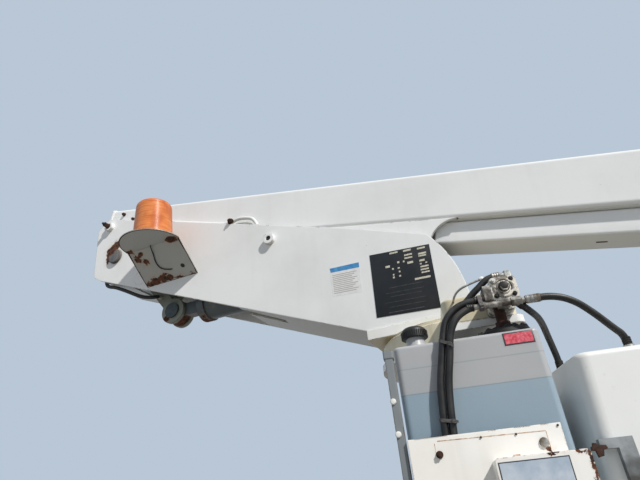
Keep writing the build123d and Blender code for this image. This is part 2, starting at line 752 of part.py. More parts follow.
BEACON_SEAT = BEACON_PLATE_Z + BEACON_PLATE_T
BEACON_BASE_R = 77
BEACON_BASE_H = 24
BEACON_RIB_DROP = 58
BEACON_RIB_RISE = 10
BEACON_RIB_W = 60
with BuildPart() as beacon_base:
    with BuildSketch(Plane.XY.offset(BEACON_SEAT)):
        with Locations((BEACON_X, BEACON_Y)):
            Circle(BEACON_BASE_R)
    extrude(amount=BEACON_BASE_H)
    with BuildSketch(Plane.YZ.offset(BEACON_X - BEACON_RIB_W / 2)):
        with BuildLine():
            Polyline(
                (BEACON_Y, BEACON_SEAT), (BEACON_Y + BEACON_BASE_R, BEACON_SEAT - BEACON_RIB_DROP),
                (BEACON_Y + BEACON_BASE_R, BEACON_SEAT + BEACON_RIB_RISE),
                (BEACON_Y, BEACON_SEAT + BEACON_RIB_RISE), close=True,
            )
        make_face()
    extrude(amount=BEACON_RIB_W)
save(beacon_base.part, "beacon_base")

BEACON_LENS_R = 75
BEACON_LENS_H = 166
with BuildPart() as beacon_lens:
    with BuildSketch(Plane.XY.offset(BEACON_SEAT + BEACON_BASE_H)):
        with Locations((BEACON_X, BEACON_Y)):
            Circle(BEACON_LENS_R)
    extrude(amount=BEACON_LENS_H, taper=1)
    fillet(beacon_lens.edges().group_by(Axis.Z)[-1], 10)
save(beacon_lens.part, "beacon_lens")

# The beacon's lead under its bracket and the hose under the turret's nose
TURRET_ROUTES = {
    "beacon_lead": [
        (-1009, -264, 1514.5), (-1009, -263.5, 1507), (-1020, -232, 1491), (-1031, -203, 1467.5),
        (-1018, -175, 1445.5), (-977, -169, 1441.5),
    ],
    "nose_hose": [
        (-1398, -120, 1545), (-1398, -99, 1545), (-1400, -94, 1512), (-1376, -97, 1494),
        (-1340, -100, 1483), (-1275, -100, 1449), (-1194, -92, 1403), (-1152, -74, 1396),
        (-1135, -56, 1404), (-1135, -38, 1404),
    ],
}
run_hose("beacon_lead", [Vector(*point) for point in TURRET_ROUTES["beacon_lead"]], LEAD_R)
run_hose("nose_hose", [Vector(*point) for point in TURRET_ROUTES["nose_hose"]], HOSE_R)

# Outer boom: rectangular tube, front plate, side brackets and the carrier below

MOUTH_PROUD = 10
MOUTH_LENGTH = 70
with BuildPart() as outer_boom:
    with BuildSketch(boom_section(BOOM_FRONT)):
        with Locations((0, BOOM_MID)):
            RectangleRounded(BOOM_W, BOOM_H, BOOM_EDGE_R)
    extrude(amount=BOOM_TIP - BOOM_FRONT)
    with BuildSketch(boom_section(BOOM_TIP - MOUTH_LENGTH)):
        with Locations((0, BOOM_MID)):
            RectangleRounded(BOOM_W + 2 * MOUTH_PROUD, BOOM_H + 2 * MOUTH_PROUD, BOOM_EDGE_R + MOUTH_PROUD)
    extrude(amount=MOUTH_LENGTH)
    with BuildSketch(boom_section(BOOM_FRONT)):
        with Locations((0, BOOM_MID)):
            RectangleRounded(BOOM_W - 2 * BOOM_WALL, BOOM_H - 2 * BOOM_WALL, BOOM_EDGE_R - BOOM_WALL)
    extrude(amount=BOOM_TIP - BOOM_FRONT, mode=Mode.SUBTRACT)
save(outer_boom.part, "outer_boom")

FRONT_PLATE_T = 10
with BuildPart() as boom_front_plate:
    with BuildSketch(boom_section(BOOM_FRONT)):
        with Locations((0, BOOM_MID)):
            RectangleRounded(BOOM_W + 8, BOOM_H + 8, BOOM_EDGE_R)
    extrude(amount=-FRONT_PLATE_T)
save(boom_front_plate.part, "boom_front_plate")

PIVOT_U = PIVOT_X * BOOM_C - PIVOT_Z * BOOM_S
PIVOT_N = PIVOT_X * BOOM_S + PIVOT_Z * BOOM_C
ROD_PIN_U = PIVOT_U + ROD_PIN_REACH
BRACKET_LOW = 1200
BRACKET_TIP_N = 1269
BRACKET_ARC_N = 1312
BRACKET_HEEL = 30
BRACKET_TIP = 90
BRACKET_ARC = 114.2741
BRACKET_TAIL = 177.2741
BRACKET_BORE_R = PIVOT_PIN_R + PIN_FIT


def boom_bracket(y_outer):
    """One bracket plate under the boom, flush with its side."""
    with BuildPart() as bracket:
        with BuildSketch(boom_side(y_outer)):
            with BuildLine():
                Polyline(
                    (ROD_PIN_U + BRACKET_TAIL, BOOM_LOW), (BRACKET_REAR, BOOM_LOW),
                    (BRACKET_REAR, BRACKET_LOW + BRACKET_HEEL), (BRACKET_REAR + BRACKET_HEEL, BRACKET_LOW),
                    (ROD_PIN_U + BRACKET_HEEL, BRACKET_LOW), (ROD_PIN_U + BRACKET_TIP, BRACKET_TIP_N),
                )
                ThreePointArc(
                    (ROD_PIN_U + BRACKET_TIP, BRACKET_TIP_N), (ROD_PIN_U + BRACKET_ARC, BRACKET_ARC_N),
                    (ROD_PIN_U + BRACKET_TAIL, BOOM_LOW),
                )
            make_face()
            with Locations((PIVOT_U, PIVOT_N)):
                Circle(BRACKET_BORE_R, mode=Mode.SUBTRACT)
        extrude(amount=BRACKET_T)
    return bracket.part


save(boom_bracket(-BOOM_W / 2 + BRACKET_T), "boom_bracket_near")
save(boom_bracket(BOOM_W / 2), "boom_bracket_far")

BRACKET_IN = BOOM_W / 2 - BRACKET_T
ROD_PIN_X, ROD_PIN_Z = boom_point(ROD_PIN_U, ROD_PIN_N)
BOSS_GAP = 5
with BuildPart() as bracket_bosses:
    with BuildSketch(Plane.XZ):
        with Locations((PIVOT_X, PIVOT_Z)):
            Circle(PIVOT_PIN_R + 18)
            Circle(BRACKET_BORE_R, mode=Mode.SUBTRACT)
    extrude(amount=BRACKET_IN, both=True)
    for boss_y in (-ROD_EYE_HALF - BOSS_GAP, BRACKET_IN):
        with BuildSketch(side_plane(boss_y)):
            with Locations((ROD_PIN_X, ROD_PIN_Z)):
                Circle(ROD_EYE_R)
        extrude(amount=BRACKET_IN - ROD_EYE_HALF - BOSS_GAP)
save(bracket_bosses.part, "bracket_bosses")

with BuildPart() as carrier_tube:
    with BuildSketch(boom_section(CARRIER_FRONT)):
        with Locations((CARRIER_Y, BOOM_LOW - CARRIER_H / 2)):
            RectangleRounded(CARRIER_W, CARRIER_H, 9)
            RectangleRounded(CARRIER_W - 2 * CARRIER_WALL, CARRIER_H - 2 * CARRIER_WALL, 4, mode=Mode.SUBTRACT)
    extrude(amount=CARRIER_REAR - CARRIER_FRONT)
save(carrier_tube.part, "carrier_tube")

with BuildPart() as mouth_pads:
    with BuildSketch(boom_section(BOOM_TIP - PAD_LENGTH)):
        with Locations((0, BOOM_MID)):
            RectangleRounded(BOOM_W - 2 * BOOM_WALL, BOOM_H - 2 * BOOM_WALL, BOOM_EDGE_R - BOOM_WALL)
            RectangleRounded(INNER_W + 2 * PAD_GAP, INNER_H + 2 * PAD_GAP, 10, mode=Mode.SUBTRACT)
    extrude(amount=PAD_LENGTH)
save(mouth_pads.part, "mouth_pads")

# Inner boom and its tip

with BuildPart() as inner_boom:
    with BuildSketch(boom_section(INNER_REAR)):
        with Locations((0, BOOM_MID)):
            RectangleRounded(INNER_W, INNER_H, 10)
            RectangleRounded(INNER_W - 2 * BOOM_WALL, INNER_H - 2 * BOOM_WALL, 4, mode=Mode.SUBTRACT)
    extrude(amount=INNER_TIP - INNER_REAR)
save(inner_boom.part, "inner_boom")

with BuildPart() as rear_pads:
    with BuildSketch(boom_section(INNER_REAR)):
        with Locations((0, BOOM_MID)):
            RectangleRounded(BOOM_W - 2 * BOOM_WALL - 2 * PAD_GAP, BOOM_H - 2 * BOOM_WALL - 2 * PAD_GAP, 7)
            RectangleRounded(INNER_W, INNER_H, 10, mode=Mode.SUBTRACT)
    extrude(amount=PAD_LENGTH)
save(rear_pads.part, "rear_pads")

TIP_EAR_IN = 60
TIP_EAR_T = 16
TIP_PLATE_T = 14
TIP_X, TIP_Z = boom_point(TIP_PIVOT_U, BOOM_MID)
with BuildPart() as boom_tip:
    with BuildSketch(boom_section(INNER_TIP)):
        with Locations((0, BOOM_MID)):
            RectangleRounded(INNER_W + 10, INNER_H + 10, 12)
    extrude(amount=TIP_PLATE_T)
    for ear_y in (-TIP_EAR_IN, TIP_EAR_IN + TIP_EAR_T):
        with BuildSketch(boom_side(ear_y)):
            with Locations((INNER_TIP + TIP_PLATE_T, BOOM_MID)):
                Rectangle(4, 120)
            with Locations((TIP_PIVOT_U, BOOM_MID)):
                Circle(42)
            make_hull()
            with Locations((TIP_PIVOT_U, BOOM_MID)):
                Circle(TIP_PIN_R, mode=Mode.SUBTRACT)
        extrude(amount=TIP_EAR_T)
save(boom_tip.part, "boom_tip")

with BuildPart() as bucket_pin:
    with BuildSketch(Plane.XZ):
        with Locations((TIP_X, TIP_Z)):
            Circle(TIP_PIN_R)
    extrude(amount=TIP_EAR_IN + TIP_EAR_T + 10, both=True)
save(bucket_pin.part, "bucket_pin")

# Bucket: sleeve and back plate, fibreglass tub, its lip and the control box

BUCKET_X = TIP_X + BUCKET_OFFSET + BUCKET_TOP / 2
BUCKET_RIM_Z = BUCKET_FLOOR_Z + BUCKET_H
BUCKET_DRAFT = (BUCKET_TOP - BUCKET_BASE) / 2 / BUCKET_H
BUCKET_TAPER = -math.degrees(math.atan(BUCKET_DRAFT))


def bucket_wall_x(z):
    """X of the tub's wall next to the boom, at height z."""
    return BUCKET_X - BUCKET_BASE / 2 - (z - BUCKET_FLOOR_Z) * BUCKET_DRAFT


BACK_LOW = 560
BACK_HIGH = 1090
BACK_T = 12
SLEEVE_HALF = TIP_EAR_IN - 5
SLEEVE_LOW = 36
SLEEVE_HIGH = 190
with BuildPart() as bucket_bracket:
    with BuildSketch(Plane.XZ):
        with BuildLine():
            Polyline(
                (bucket_wall_x(BACK_LOW), BACK_LOW), (bucket_wall_x(BACK_HIGH), BACK_HIGH),
                (bucket_wall_x(BACK_HIGH) - BACK_T, BACK_HIGH), (bucket_wall_x(BACK_LOW) - BACK_T, BACK_LOW),
                close=True,
            )
        make_face()
    extrude(amount=130, both=True)
    with BuildSketch(Plane.XZ):
        with Locations((TIP_X, TIP_Z)):
            Circle(36)
        with Locations((bucket_wall_x(TIP_Z) - BACK_T, TIP_Z + (SLEEVE_HIGH - SLEEVE_LOW) / 2)):
            Rectangle(4, SLEEVE_LOW + SLEEVE_HIGH)
        make_hull()
        with Locations((TIP_X, TIP_Z)):
            Circle(TIP_PIN_R + PIN_FIT, mode=Mode.SUBTRACT)
    extrude(amount=SLEEVE_HALF, both=True)
save(bucket_bracket.part, "bucket_bracket")

LIP_OUT = 22
LIP_T = 14
with BuildPart() as bucket:
    with BuildSketch(Plane.XY.offset(BUCKET_FLOOR_Z)):
        with Locations((BUCKET_X, 0)):
            RectangleRounded(BUCKET_BASE, BUCKET_BASE, BUCKET_CORNER_R)
    extrude(amount=BUCKET_H, taper=BUCKET_TAPER)
    with BuildSketch(Plane.XY.offset(BUCKET_RIM_Z)):
        with Locations((BUCKET_X, 0)):
            RectangleRounded(BUCKET_TOP + 2 * LIP_OUT, BUCKET_TOP + 2 * LIP_OUT, BUCKET_CORNER_R + LIP_OUT)
    extrude(amount=LIP_T)
    with BuildSketch(Plane.XY.offset(BUCKET_FLOOR_Z + BUCKET_WALL)):
        with Locations((BUCKET_X, 0)):
            RectangleRounded(BUCKET_BASE - 2 * BUCKET_WALL, BUCKET_BASE - 2 * BUCKET_WALL, BUCKET_CORNER_R - BUCKET_WALL)
    extrude(amount=BUCKET_H - BUCKET_WALL + LIP_T, taper=BUCKET_TAPER, mode=Mode.SUBTRACT)
save(bucket.part, "bucket")

CONSOLE_X = BUCKET_X - BUCKET_TOP / 2
BOX_FOOT_Z = BUCKET_RIM_Z + LIP_T
BOX_H = 130
with BuildPart() as control_box:
    with BuildSketch(Plane.XZ):
        with BuildLine():
            Polyline(
                (CONSOLE_X - 85, BOX_FOOT_Z), (CONSOLE_X + 25, BOX_FOOT_Z), (CONSOLE_X + 25, BOX_FOOT_Z + BOX_H - 45),
                (CONSOLE_X - 15, BOX_FOOT_Z + BOX_H), (CONSOLE_X - 85, BOX_FOOT_Z + BOX_H), close=True,
            )
        make_face()
    extrude(amount=130, both=True)
    fillet(control_box.edges().filter_by(Axis.Y).group_by(Axis.Z)[-1], 8)
    with BuildSketch(Plane.XY.offset(BOX_FOOT_Z + BOX_H)):
        with GridLocations(1, 70, 1, 3):
            with Locations((CONSOLE_X - 50, 0)):
                Circle(6)
    extrude(amount=70)
save(control_box.part, "control_box")

# Lift cylinder, drawn along the line between its two pins

LIFT_LENGTH = math.hypot(ROD_PIN_X - LIFT_X, ROD_PIN_Z - LIFT_Z)
LIFT_DX = (ROD_PIN_X - LIFT_X) / LIFT_LENGTH
LIFT_DZ = (ROD_PIN_Z - LIFT_Z) / LIFT_LENGTH


def lift_section(s):
    """Plane across the cylinder, s from its base pin."""
    return Plane(origin=(LIFT_X + s * LIFT_DX, 0, LIFT_Z + s * LIFT_DZ), x_dir=(0, 1, 0), z_dir=(LIFT_DX, 0, LIFT_DZ))


EYE_R = 50
EYE_HALF = LIFT_LUG_IN - 1
TONGUE_H = 52
RIM_START = 135
PISTON_START = 175
PISTON_T = 40
with BuildPart() as lift_barrel:
    with BuildSketch(lift_section(0)):
        Rectangle(2 * EYE_HALF, TONGUE_H)
    extrude(amount=RIM_START)
    with BuildSketch(Plane.XZ):
        with Locations((LIFT_X, LIFT_Z)):
            Circle(EYE_R)
    extrude(amount=EYE_HALF, both=True)
    with BuildSketch(Plane.XZ):
        with Locations((LIFT_X, LIFT_Z)):
            Circle(LIFT_PIN_R + PIN_FIT)
    extrude(amount=EYE_HALF, both=True, mode=Mode.SUBTRACT)
    with BuildSketch(lift_section(RIM_START)):
        Circle(BARREL_RIM_R)
    extrude(amount=BARREL_START - RIM_START)
    with BuildSketch(lift_section(BARREL_START)):
        Circle(BARREL_R)
    extrude(amount=BARREL_END - BARREL_START)
    with BuildSketch(lift_section(BARREL_END)):
        Circle(BARREL_GLAND_R)
    extrude(amount=GLAND_END - BARREL_END)
    with BuildSketch(lift_section(PISTON_START - 3)):
        Circle(BARREL_BORE_R)
    extrude(amount=BARREL_END - PISTON_START + 3, mode=Mode.SUBTRACT)
    with BuildSketch(lift_section(BARREL_END)):
        Circle(ROD_R + PIN_FIT)
    extrude(amount=GLAND_END - BARREL_END, mode=Mode.SUBTRACT)
save(lift_barrel.part, "lift_barrel")

with BuildPart() as lift_rod:
    with BuildSketch(lift_section(PISTON_START)):
        Circle(BARREL_BORE_R - PIN_FIT)
    extrude(amount=PISTON_T)
    with BuildSketch(lift_section(PISTON_START + PISTON_T)):
        Circle(ROD_R)
    extrude(amount=LIFT_LENGTH - PISTON_START - PISTON_T)
    with BuildSketch(Plane.XZ):
        with Locations((ROD_PIN_X, ROD_PIN_Z)):
            Circle(ROD_EYE_R)
    extrude(amount=ROD_EYE_HALF, both=True)
save(lift_rod.part, "lift_rod")

print("pivot along and across the boom", round(PIVOT_U, 2), round(PIVOT_N, 2))
print("rod pin X, Z", round(ROD_PIN_X, 2), round(ROD_PIN_Z, 2), "closed length", round(LIFT_LENGTH, 2))
print("bucket pivot X, Z", round(TIP_X, 2), round(TIP_Z, 2), "bucket centre X", round(BUCKET_X, 2))
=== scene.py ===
from functools import partial
from math import copysign, cos, pi, radians, sin

import bmesh
import bpy
from mathutils import Matrix, Vector


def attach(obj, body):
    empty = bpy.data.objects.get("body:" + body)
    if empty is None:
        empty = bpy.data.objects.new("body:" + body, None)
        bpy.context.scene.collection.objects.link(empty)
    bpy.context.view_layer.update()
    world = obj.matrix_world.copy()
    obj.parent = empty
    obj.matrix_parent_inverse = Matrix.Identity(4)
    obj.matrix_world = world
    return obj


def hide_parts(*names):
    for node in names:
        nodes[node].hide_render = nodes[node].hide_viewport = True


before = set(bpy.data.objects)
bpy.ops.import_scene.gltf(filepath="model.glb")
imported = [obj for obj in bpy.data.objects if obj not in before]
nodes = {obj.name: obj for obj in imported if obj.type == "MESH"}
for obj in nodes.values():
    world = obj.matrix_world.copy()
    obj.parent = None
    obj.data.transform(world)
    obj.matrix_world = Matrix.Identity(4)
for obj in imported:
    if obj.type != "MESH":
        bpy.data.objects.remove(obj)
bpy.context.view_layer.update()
scene = bpy.context.scene
scene.view_settings.view_transform = "Standard"


# Camera: held low beside the oil tank, looking up along the turret.
# Its turn and place were worked out from the parallel edges in the photograph.
def linked(name, data):
    """A new object in the scene."""
    thing = bpy.data.objects.new(name, data)
    scene.collection.objects.link(thing)
    return thing


camera_data = bpy.data.cameras.new("camera")
camera_data.sensor_width = 36
camera_data.lens = 27.34
camera_data.clip_end = 100
camera = linked("camera", camera_data)
camera_turn = Matrix(((0.9095, 0.2699, 0.3163),
                      (0.4066, -0.4183, -0.8122),
                      (-0.0869, 0.8673, -0.4901)))
camera.matrix_world = Matrix.Translation((0.1995, -1.5461, 0.5446)) @ camera_turn.to_4x4()
scene.camera = camera


# Studio: a pale floor under the flange, a pale backdrop and soft light from all round.
# One lamp stands where the sun was, high to the right on the camera's side.
def srgb(code):
    """A hex colour as written for a screen, turned to the linear values that shaders use."""
    parts = [int(code[i:i + 2], 16) / 255 for i in (1, 3, 5)]
    return [p / 12.92 if p <= 0.04045 else ((p + 0.055) / 1.055) ** 2.4 for p in parts] + [1]


def fill(node, inputs):
    """Fills inputs that are given by name, or in the order in which the node shows them.

    A node is linked by the first output that it shows, a socket as it is, else a value is set.
    """
    if isinstance(inputs, dict):
        pairs = [(node.inputs[name], value) for name, value in inputs.items()]
    else:
        pairs = zip([socket for socket in node.inputs if socket.enabled], inputs)
    for socket, value in pairs:
        if isinstance(value, bpy.types.Node):
            value = next(output for output in value.outputs if output.enabled)
        if isinstance(value, bpy.types.NodeSocket):
            node.id_data.links.new(value, socket)
        else:
            socket.default_value = value


def add_node(tree, kind, inputs, **settings):
    """Adds a node, sets it up and fills its inputs; a kind given in short is a shader's."""
    node = tree.nodes.new(kind if "Node" in kind else "ShaderNode" + kind)
    for name, value in settings.items():
        setattr(node, name, value)
    fill(node, inputs)
    return node


world = bpy.data.worlds.new("studio")
scene.world = world
world.use_nodes = True
world.node_tree.nodes.clear()
add = partial(add_node, world.node_tree)
ray = add("LightPath", {}).outputs
seen = add("Math", (ray["Is Camera Ray"], ray["Is Glossy Ray"]), operation="MAXIMUM")
seen = add("Math", (seen, ray["Is Transmission Ray"]), operation="MAXIMUM")
soft = add("Background", {"Color": srgb("#DCE6F2"), "Strength": 0.42})
backdrop = add("Background", {"Color": srgb("#B9C7D6"), "Strength": 1.0})
mixed = add("MixShader", (seen, soft, backdrop))
add("OutputWorld", {"Surface": mixed})

lamp_data = bpy.data.lights.new("key_lamp", "SUN")
lamp_data.energy = 3.9
lamp_data.angle = radians(2)
lamp_data.color = srgb("#FFFBF5")[:3]
lamp = linked("key_lamp", lamp_data)
TO_SUN = Vector((0.657, -0.358, 0.663))
lamp.rotation_euler = TO_SUN.to_track_quat("Z", "Y").to_euler()

FLOOR_HALF = 30
floor_mesh = bpy.data.meshes.new("floor")
corners = [(x * FLOOR_HALF, y * FLOOR_HALF, 0) for x, y in ((-1, -1), (1, -1), (1, 1), (-1, 1))]
floor_mesh.from_pydata(corners, [], [(0, 1, 2, 3)])
floor = linked("floor", floor_mesh)
floor_paint = bpy.data.materials.new("pale floor")
floor_paint.use_nodes = True
fill(floor_paint.node_tree.nodes["Principled BSDF"], {"Base Color": srgb("#9D9B97"), "Roughness": 0.9})
floor_mesh.materials.append(floor_paint)

# Hydraulic hoses and the beacon's lead: wire-braided rubber hose 15.5 mm outside, cut to
# length and crimped into steel ends. The cover is black, greyed on its upper side by dust and a painted
# sheen.
DECK_TURN = radians(11.7)
DECK_C, DECK_S = cos(DECK_TURN), sin(DECK_TURN)
DECK_ALONG = Vector((DECK_C, DECK_S, 0))
DECK_FRONT = Vector((DECK_S, -DECK_C, 0))


def deck(a, b, z):
    """A place on the pedestal's deck, a along and b across it, in millimetres."""
    return Vector((a * DECK_C - b * DECK_S, a * DECK_S + b * DECK_C, z)) / 1000


def new_finish(name):
    """A material, the way to add to its tree, its shader and the piece's own coordinates."""
    material = bpy.data.materials.new(name)
    material.use_nodes = True
    add = partial(add_node, material.node_tree)
    where = add("TexCoord", {}).outputs["Object"]
    return material, add, material.node_tree.nodes["Principled BSDF"], where


hose_rubber, add, shader, where = new_finish("wrapped black hose rubber")
cloud = add("TexNoise", {"Vector": where, "Scale": 30, "Detail": 4})
flat = add("Mapping", {"Vector": where, "Scale": (1, 1, 0.5)})
wrap = add("TexNoise", {"Vector": flat, "Scale": 420, "Detail": 2})
# upper faces are mixed towards grey: dust in patches, and a painted sheen from above
rise = add("SeparateXYZ", {"Vector": where.node.outputs["Normal"]}).outputs["Z"]
upper = add("MapRange", (rise, -0.2, 0.9, 0.15, 1.0))
dusty = add("MapRange", (cloud, 0.4, 0.7))
dust_and_sheen = add("Math", (upper, dusty), operation="MULTIPLY")
colour = add("Mix", (dust_and_sheen, srgb("#101011"), srgb("#4A4744")), data_type="RGBA")
gloss = add("MapRange", (cloud, 0.3, 0.7, 0.36, 0.6))
bump = add("Bump", {"Height": wrap, "Strength": 0.5, "Distance": 0.0006})
fill(shader, {"Base Color": colour, "Roughness": gloss, "Normal": bump})

HOSE_DIAMETER = 0.0155
LEAD_DIAMETER = 0.0044
DECK_HOSES = {
    "hose_outer": (0.445, [
        (58, -483, 929), (16, -483, 929), (-14, -483, 917), (-37, -483.5, 894), (-47, -484, 866),
        (-58.5, -484.5, 820), (-73.5, -486, 765), (-80, -486, 715), (-85.5, -486.5, 650),
        (-88, -487, 600), (-88, -487, 560)]),
    "hose_inner": (0.391, [
        (30, -488, 912.5), (20, -488, 912.5), (-10, -491, 897), (-25.5, -491, 876.5), (-36, -490, 850),
        (-42, -489, 818), (-56.5, -487, 765), (-64, -487, 715), (-69.5, -487, 650), (-72, -487, 600),
        (-72, -487, 560)]),
    "hose_right": (0.212, [
        (172, -488, 912.5), (196, -488, 912.5), (237, -480, 898), (272, -466, 868), (303, -452, 834),
        (323, -440, 818), (323, -440, 796)]),
    "hose_middle": (0.245, [
        (133.9, -474.6, 905), (152, -455.7, 894.5), (172, -420, 889.5), (187, -380, 882),
        (198, -345, 870), (210, -312, 846), (216, -300, 818), (216, -300, 796)]),
    "hose_return": (0.211, [
        (110, -455, 990), (85, -455, 990), (69, -455, 980), (55.6, -455, 968.7), (40.8, -455, 958),
        (21, -450, 940), (-2.5, -445, 925), (-22.5, -440, 906), (-36, -434, 884), (-42, -430, 876),
        (-42, -430, 864)]),
}
TURRET_LINES = {
    "nose_hose": ("stiff", 0.371, HOSE_DIAMETER, [
        (-1398, -120, 1545), (-1398, -99, 1545), (-1400, -94, 1512), (-1376, -97, 1494),
        (-1340, -100, 1483), (-1275, -100, 1449), (-1194, -92, 1403), (-1152, -74, 1396),
        (-1135, -56, 1404), (-1135, -38, 1404)]),
    "beacon_lead": ("medium", 0.158, LEAD_DIAMETER, [
        (-1009, -264, 1514.5), (-1009, -263.5, 1507), (-1020, -232, 1491), (-1031, -203, 1467.5),
        (-1018, -175, 1445.5), (-977, -169, 1441.5)]),
}
lines = {name: ("pedestal", "stiff", length, HOSE_DIAMETER, [deck(*point) for point in points])
         for name, (length, points) in DECK_HOSES.items()}
for name, (stiffness, length, diameter, points) in TURRET_LINES.items():
    lines[name] = ("turret", stiffness, length, diameter, [Vector(point) / 1000 for point in points])


def round_line(name, points, radius, finish):
    """A smooth round curve through control points, with flat caps."""
    curve = bpy.data.curves.new(name, "CURVE")
    curve.dimensions = "3D"
    curve.bevel_depth = radius
    curve.bevel_resolution = 6
    curve.resolution_u = 10
    curve.use_fill_caps = True
    spline = curve.splines.new("NURBS")
    spline.points.add(len(points) - 1)
    for point, place in zip(spline.points, points):
        point.co = (*place, 1)
    spline.order_u = 3
    spline.use_endpoint_u = True
    curve.materials.append(finish)
    return curve


def frame_at(origin, along, out):
    """A frame at a place: X along one direction and Z pointing out of the surface."""
    x, z = Vector(along).normalized(), Vector(out).normalized()
    y = z.cross(x).normalized()
    x = y.cross(z)
    turn = Matrix((x, y, z)).transposed().to_4x4()
    return Matrix.Translation(Vector(origin)) @ turn


def pointing(origin, out):
    """A frame at a place with Z along a direction, turned any way about it."""
    out = Vector(out).normalized()
    aside = Vector((0, 0, 1)) if abs(out.z) < 0.9 else Vector((1, 0, 0))
    return frame_at(origin, aside.cross(out), out)


def around(steps):
    """The cosine and sine of each equal step round a circle."""
    turns = [2 * pi * i / steps for i in range(steps)]
    return [(cos(t), sin(t)) for t in turns]


def turned(profile, place, steps=40):
    """A lathe-turned solid from (radius, height) pairs in millimetres, along the frame's Z."""
    shape = bmesh.new()
    rings = []
    for radius, height in profile:
        circle = around(steps) if radius else [(0, 0)]
        rings.append([shape.verts.new(place @ (Vector((radius * c, radius * s, height)) / 1000))
                      for c, s in circle])
    for low, high in zip(rings, rings[1:]):
        for i in range(steps):
            j = (i + 1) % steps
            corners = [low[i % len(low)], low[j % len(low)], high[j % len(high)], high[i % len(high)]]
            shape.faces.new(list(dict.fromkeys(corners)))
    bmesh.ops.recalc_face_normals(shape, faces=shape.faces)
    return shape


def new_piece(name, data, body):
    """A piece that rides on its body."""
    piece = linked(name, data)
    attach(piece, body)
    return piece


def smooth_piece(name, mesh, body, sharp=35):
    """A piece of a mesh, with smooth faces, and edges sharp past an angle in degrees."""
    mesh.name = name
    mesh.polygons.foreach_set("use_smooth", [True] * len(mesh.polygons))
    mesh.set_sharp_from_angle(angle=radians(sharp))
    return new_piece(name, mesh, body)


def piece_from(name, body, slot, finish, *shapes, sharp=35):
    """A piece of one or more shapes in one finish."""
    whole, *others = shapes
    for shape in others:
        part = bpy.data.meshes.new("part")
        shape.to_mesh(part)
        shape.free()
        whole.from_mesh(part)
        bpy.data.meshes.remove(part)
    mesh = bpy.data.meshes.new(name)
    whole.to_mesh(mesh)
    whole.free()
    mesh.materials.append(finish)
    return smooth_piece(name, mesh, body, sharp)


def mottled(name, dark, light, scale, roughness, metallic=0.0, relief=0.0, grime=None):
    """A finish that varies between two colours, with grime in patches where it has any."""
    material, add, shader, where = new_finish(name)
    cloud = add("TexNoise", {"Vector": where, "Scale": scale, "Detail": 5, "Roughness": 0.62})
    spread = add("MapRange", (cloud, 0.36, 0.68))
    colour = add("Mix", (spread, srgb(dark), srgb(light)), data_type="RGBA")
    if grime:
        patch = add("TexNoise", {"Vector": where, "Scale": scale * 0.4, "Detail": 4})
        dirty = add("MapRange", (patch, 0.5, 0.64))
        colour = add("Mix", (dirty, colour, srgb(grime)), data_type="RGBA")
    gloss = add("MapRange", (cloud, 0.3, 0.7, *roughness))
    bump = add("Bump", {"Height": cloud, "Strength": relief, "Distance": 0.001})
    fill(shader, {"Base Color": colour, "Roughness": gloss, "Normal": bump, "Metallic": metallic})
    return material


# zinc: passivated plating gone dull and white, with brown grime round the nuts
zinc = mottled("tarnished zinc plating", "#8D8C88", "#D2D1CC", 60, (0.34, 0.6), 0.6, 0.25, "#6B5F50")
# black_steel: phosphated hose ends, nearly as dark as the hose
black_steel = mottled("black phosphated steel", "#191918", "#33302D", 90, (0.4, 0.6), 0.4, 0.2)
# tie_nylon: black nylon ties greyed by the weather
tie_nylon = mottled("weathered nylon tie", "#3A3737", "#6A6564", 200, (0.45, 0.65), 0.0, 0.1)

CRIMP_RINGS, CRIMP_DEPTH = 4, 0.8


def hose_end(start, way, length, radius):
    """A crimped steel end on a hose: a round shell with pressed rings, sized in millimetres."""
    profile = [(0, 0), (radius - CRIMP_DEPTH, 0)]
    for i in range(CRIMP_RINGS):
        low, high = length * i / CRIMP_RINGS, length * (i + 1) / CRIMP_RINGS
        profile += [(radius, low + 0.8), (radius, high - 1.4), (radius - CRIMP_DEPTH, high - 0.6)]
    return turned(profile + [(radius - 1.4, length), (0, length)], pointing(start, way))


def band(shape, rows):
    """Faces between rows of points, from each row to the next and from the last to the first."""
    for low, high in zip(rows, rows[1:] + rows[:1]):
        for k in range(len(low)):
            n = (k + 1) % len(low)
            shape.faces.new((low[k], low[n], high[n], high[k]))
    bmesh.ops.recalc_face_normals(shape, faces=shape.faces)


TIE_THICK = 0.0016
TIE_HEAD, TIE_TAIL = (0.007, 0.008, 0.006, 1), (0.007, 0.005, 0.0015, 1)


def tie_round(left, right, along, reach, wide):
    """A flat nylon tie pulled round a pair of hoses, with its locking head and tail."""
    shape = bmesh.new()
    centre, half = (left + right) / 2, (right - left).length / 2
    across, along = (right - left).normalized(), along.normalized()
    out = along.cross(across).normalized()
    if out.dot(DECK_FRONT) < 0:
        out = -out
    rows = []
    for c, s in around(32):
        side = across * (copysign(half, c) + reach * c) + out * reach * s
        unit = (across * c + out * s).normalized()
        rows.append([shape.verts.new(centre + side + unit * thick + along * h)
                     for thick, h in ((0, -wide), (TIE_THICK, -wide), (TIE_THICK, wide), (0, wide))])
    band(shape, rows)
    turn = Matrix((across, along, out)).transposed().to_4x4()
    head = Matrix.Translation(centre + out * (reach + 0.002) + across * (half + 0.004)) @ turn
    tail = head @ Matrix.Translation((0.005, 0, -0.001))
    for place, size in ((head, TIE_HEAD), (tail, TIE_TAIL)):
        bmesh.ops.create_cube(shape, size=1, matrix=place @ Matrix.Diagonal(size))
    bmesh.ops.recalc_face_normals(shape, faces=shape.faces)
    return shape


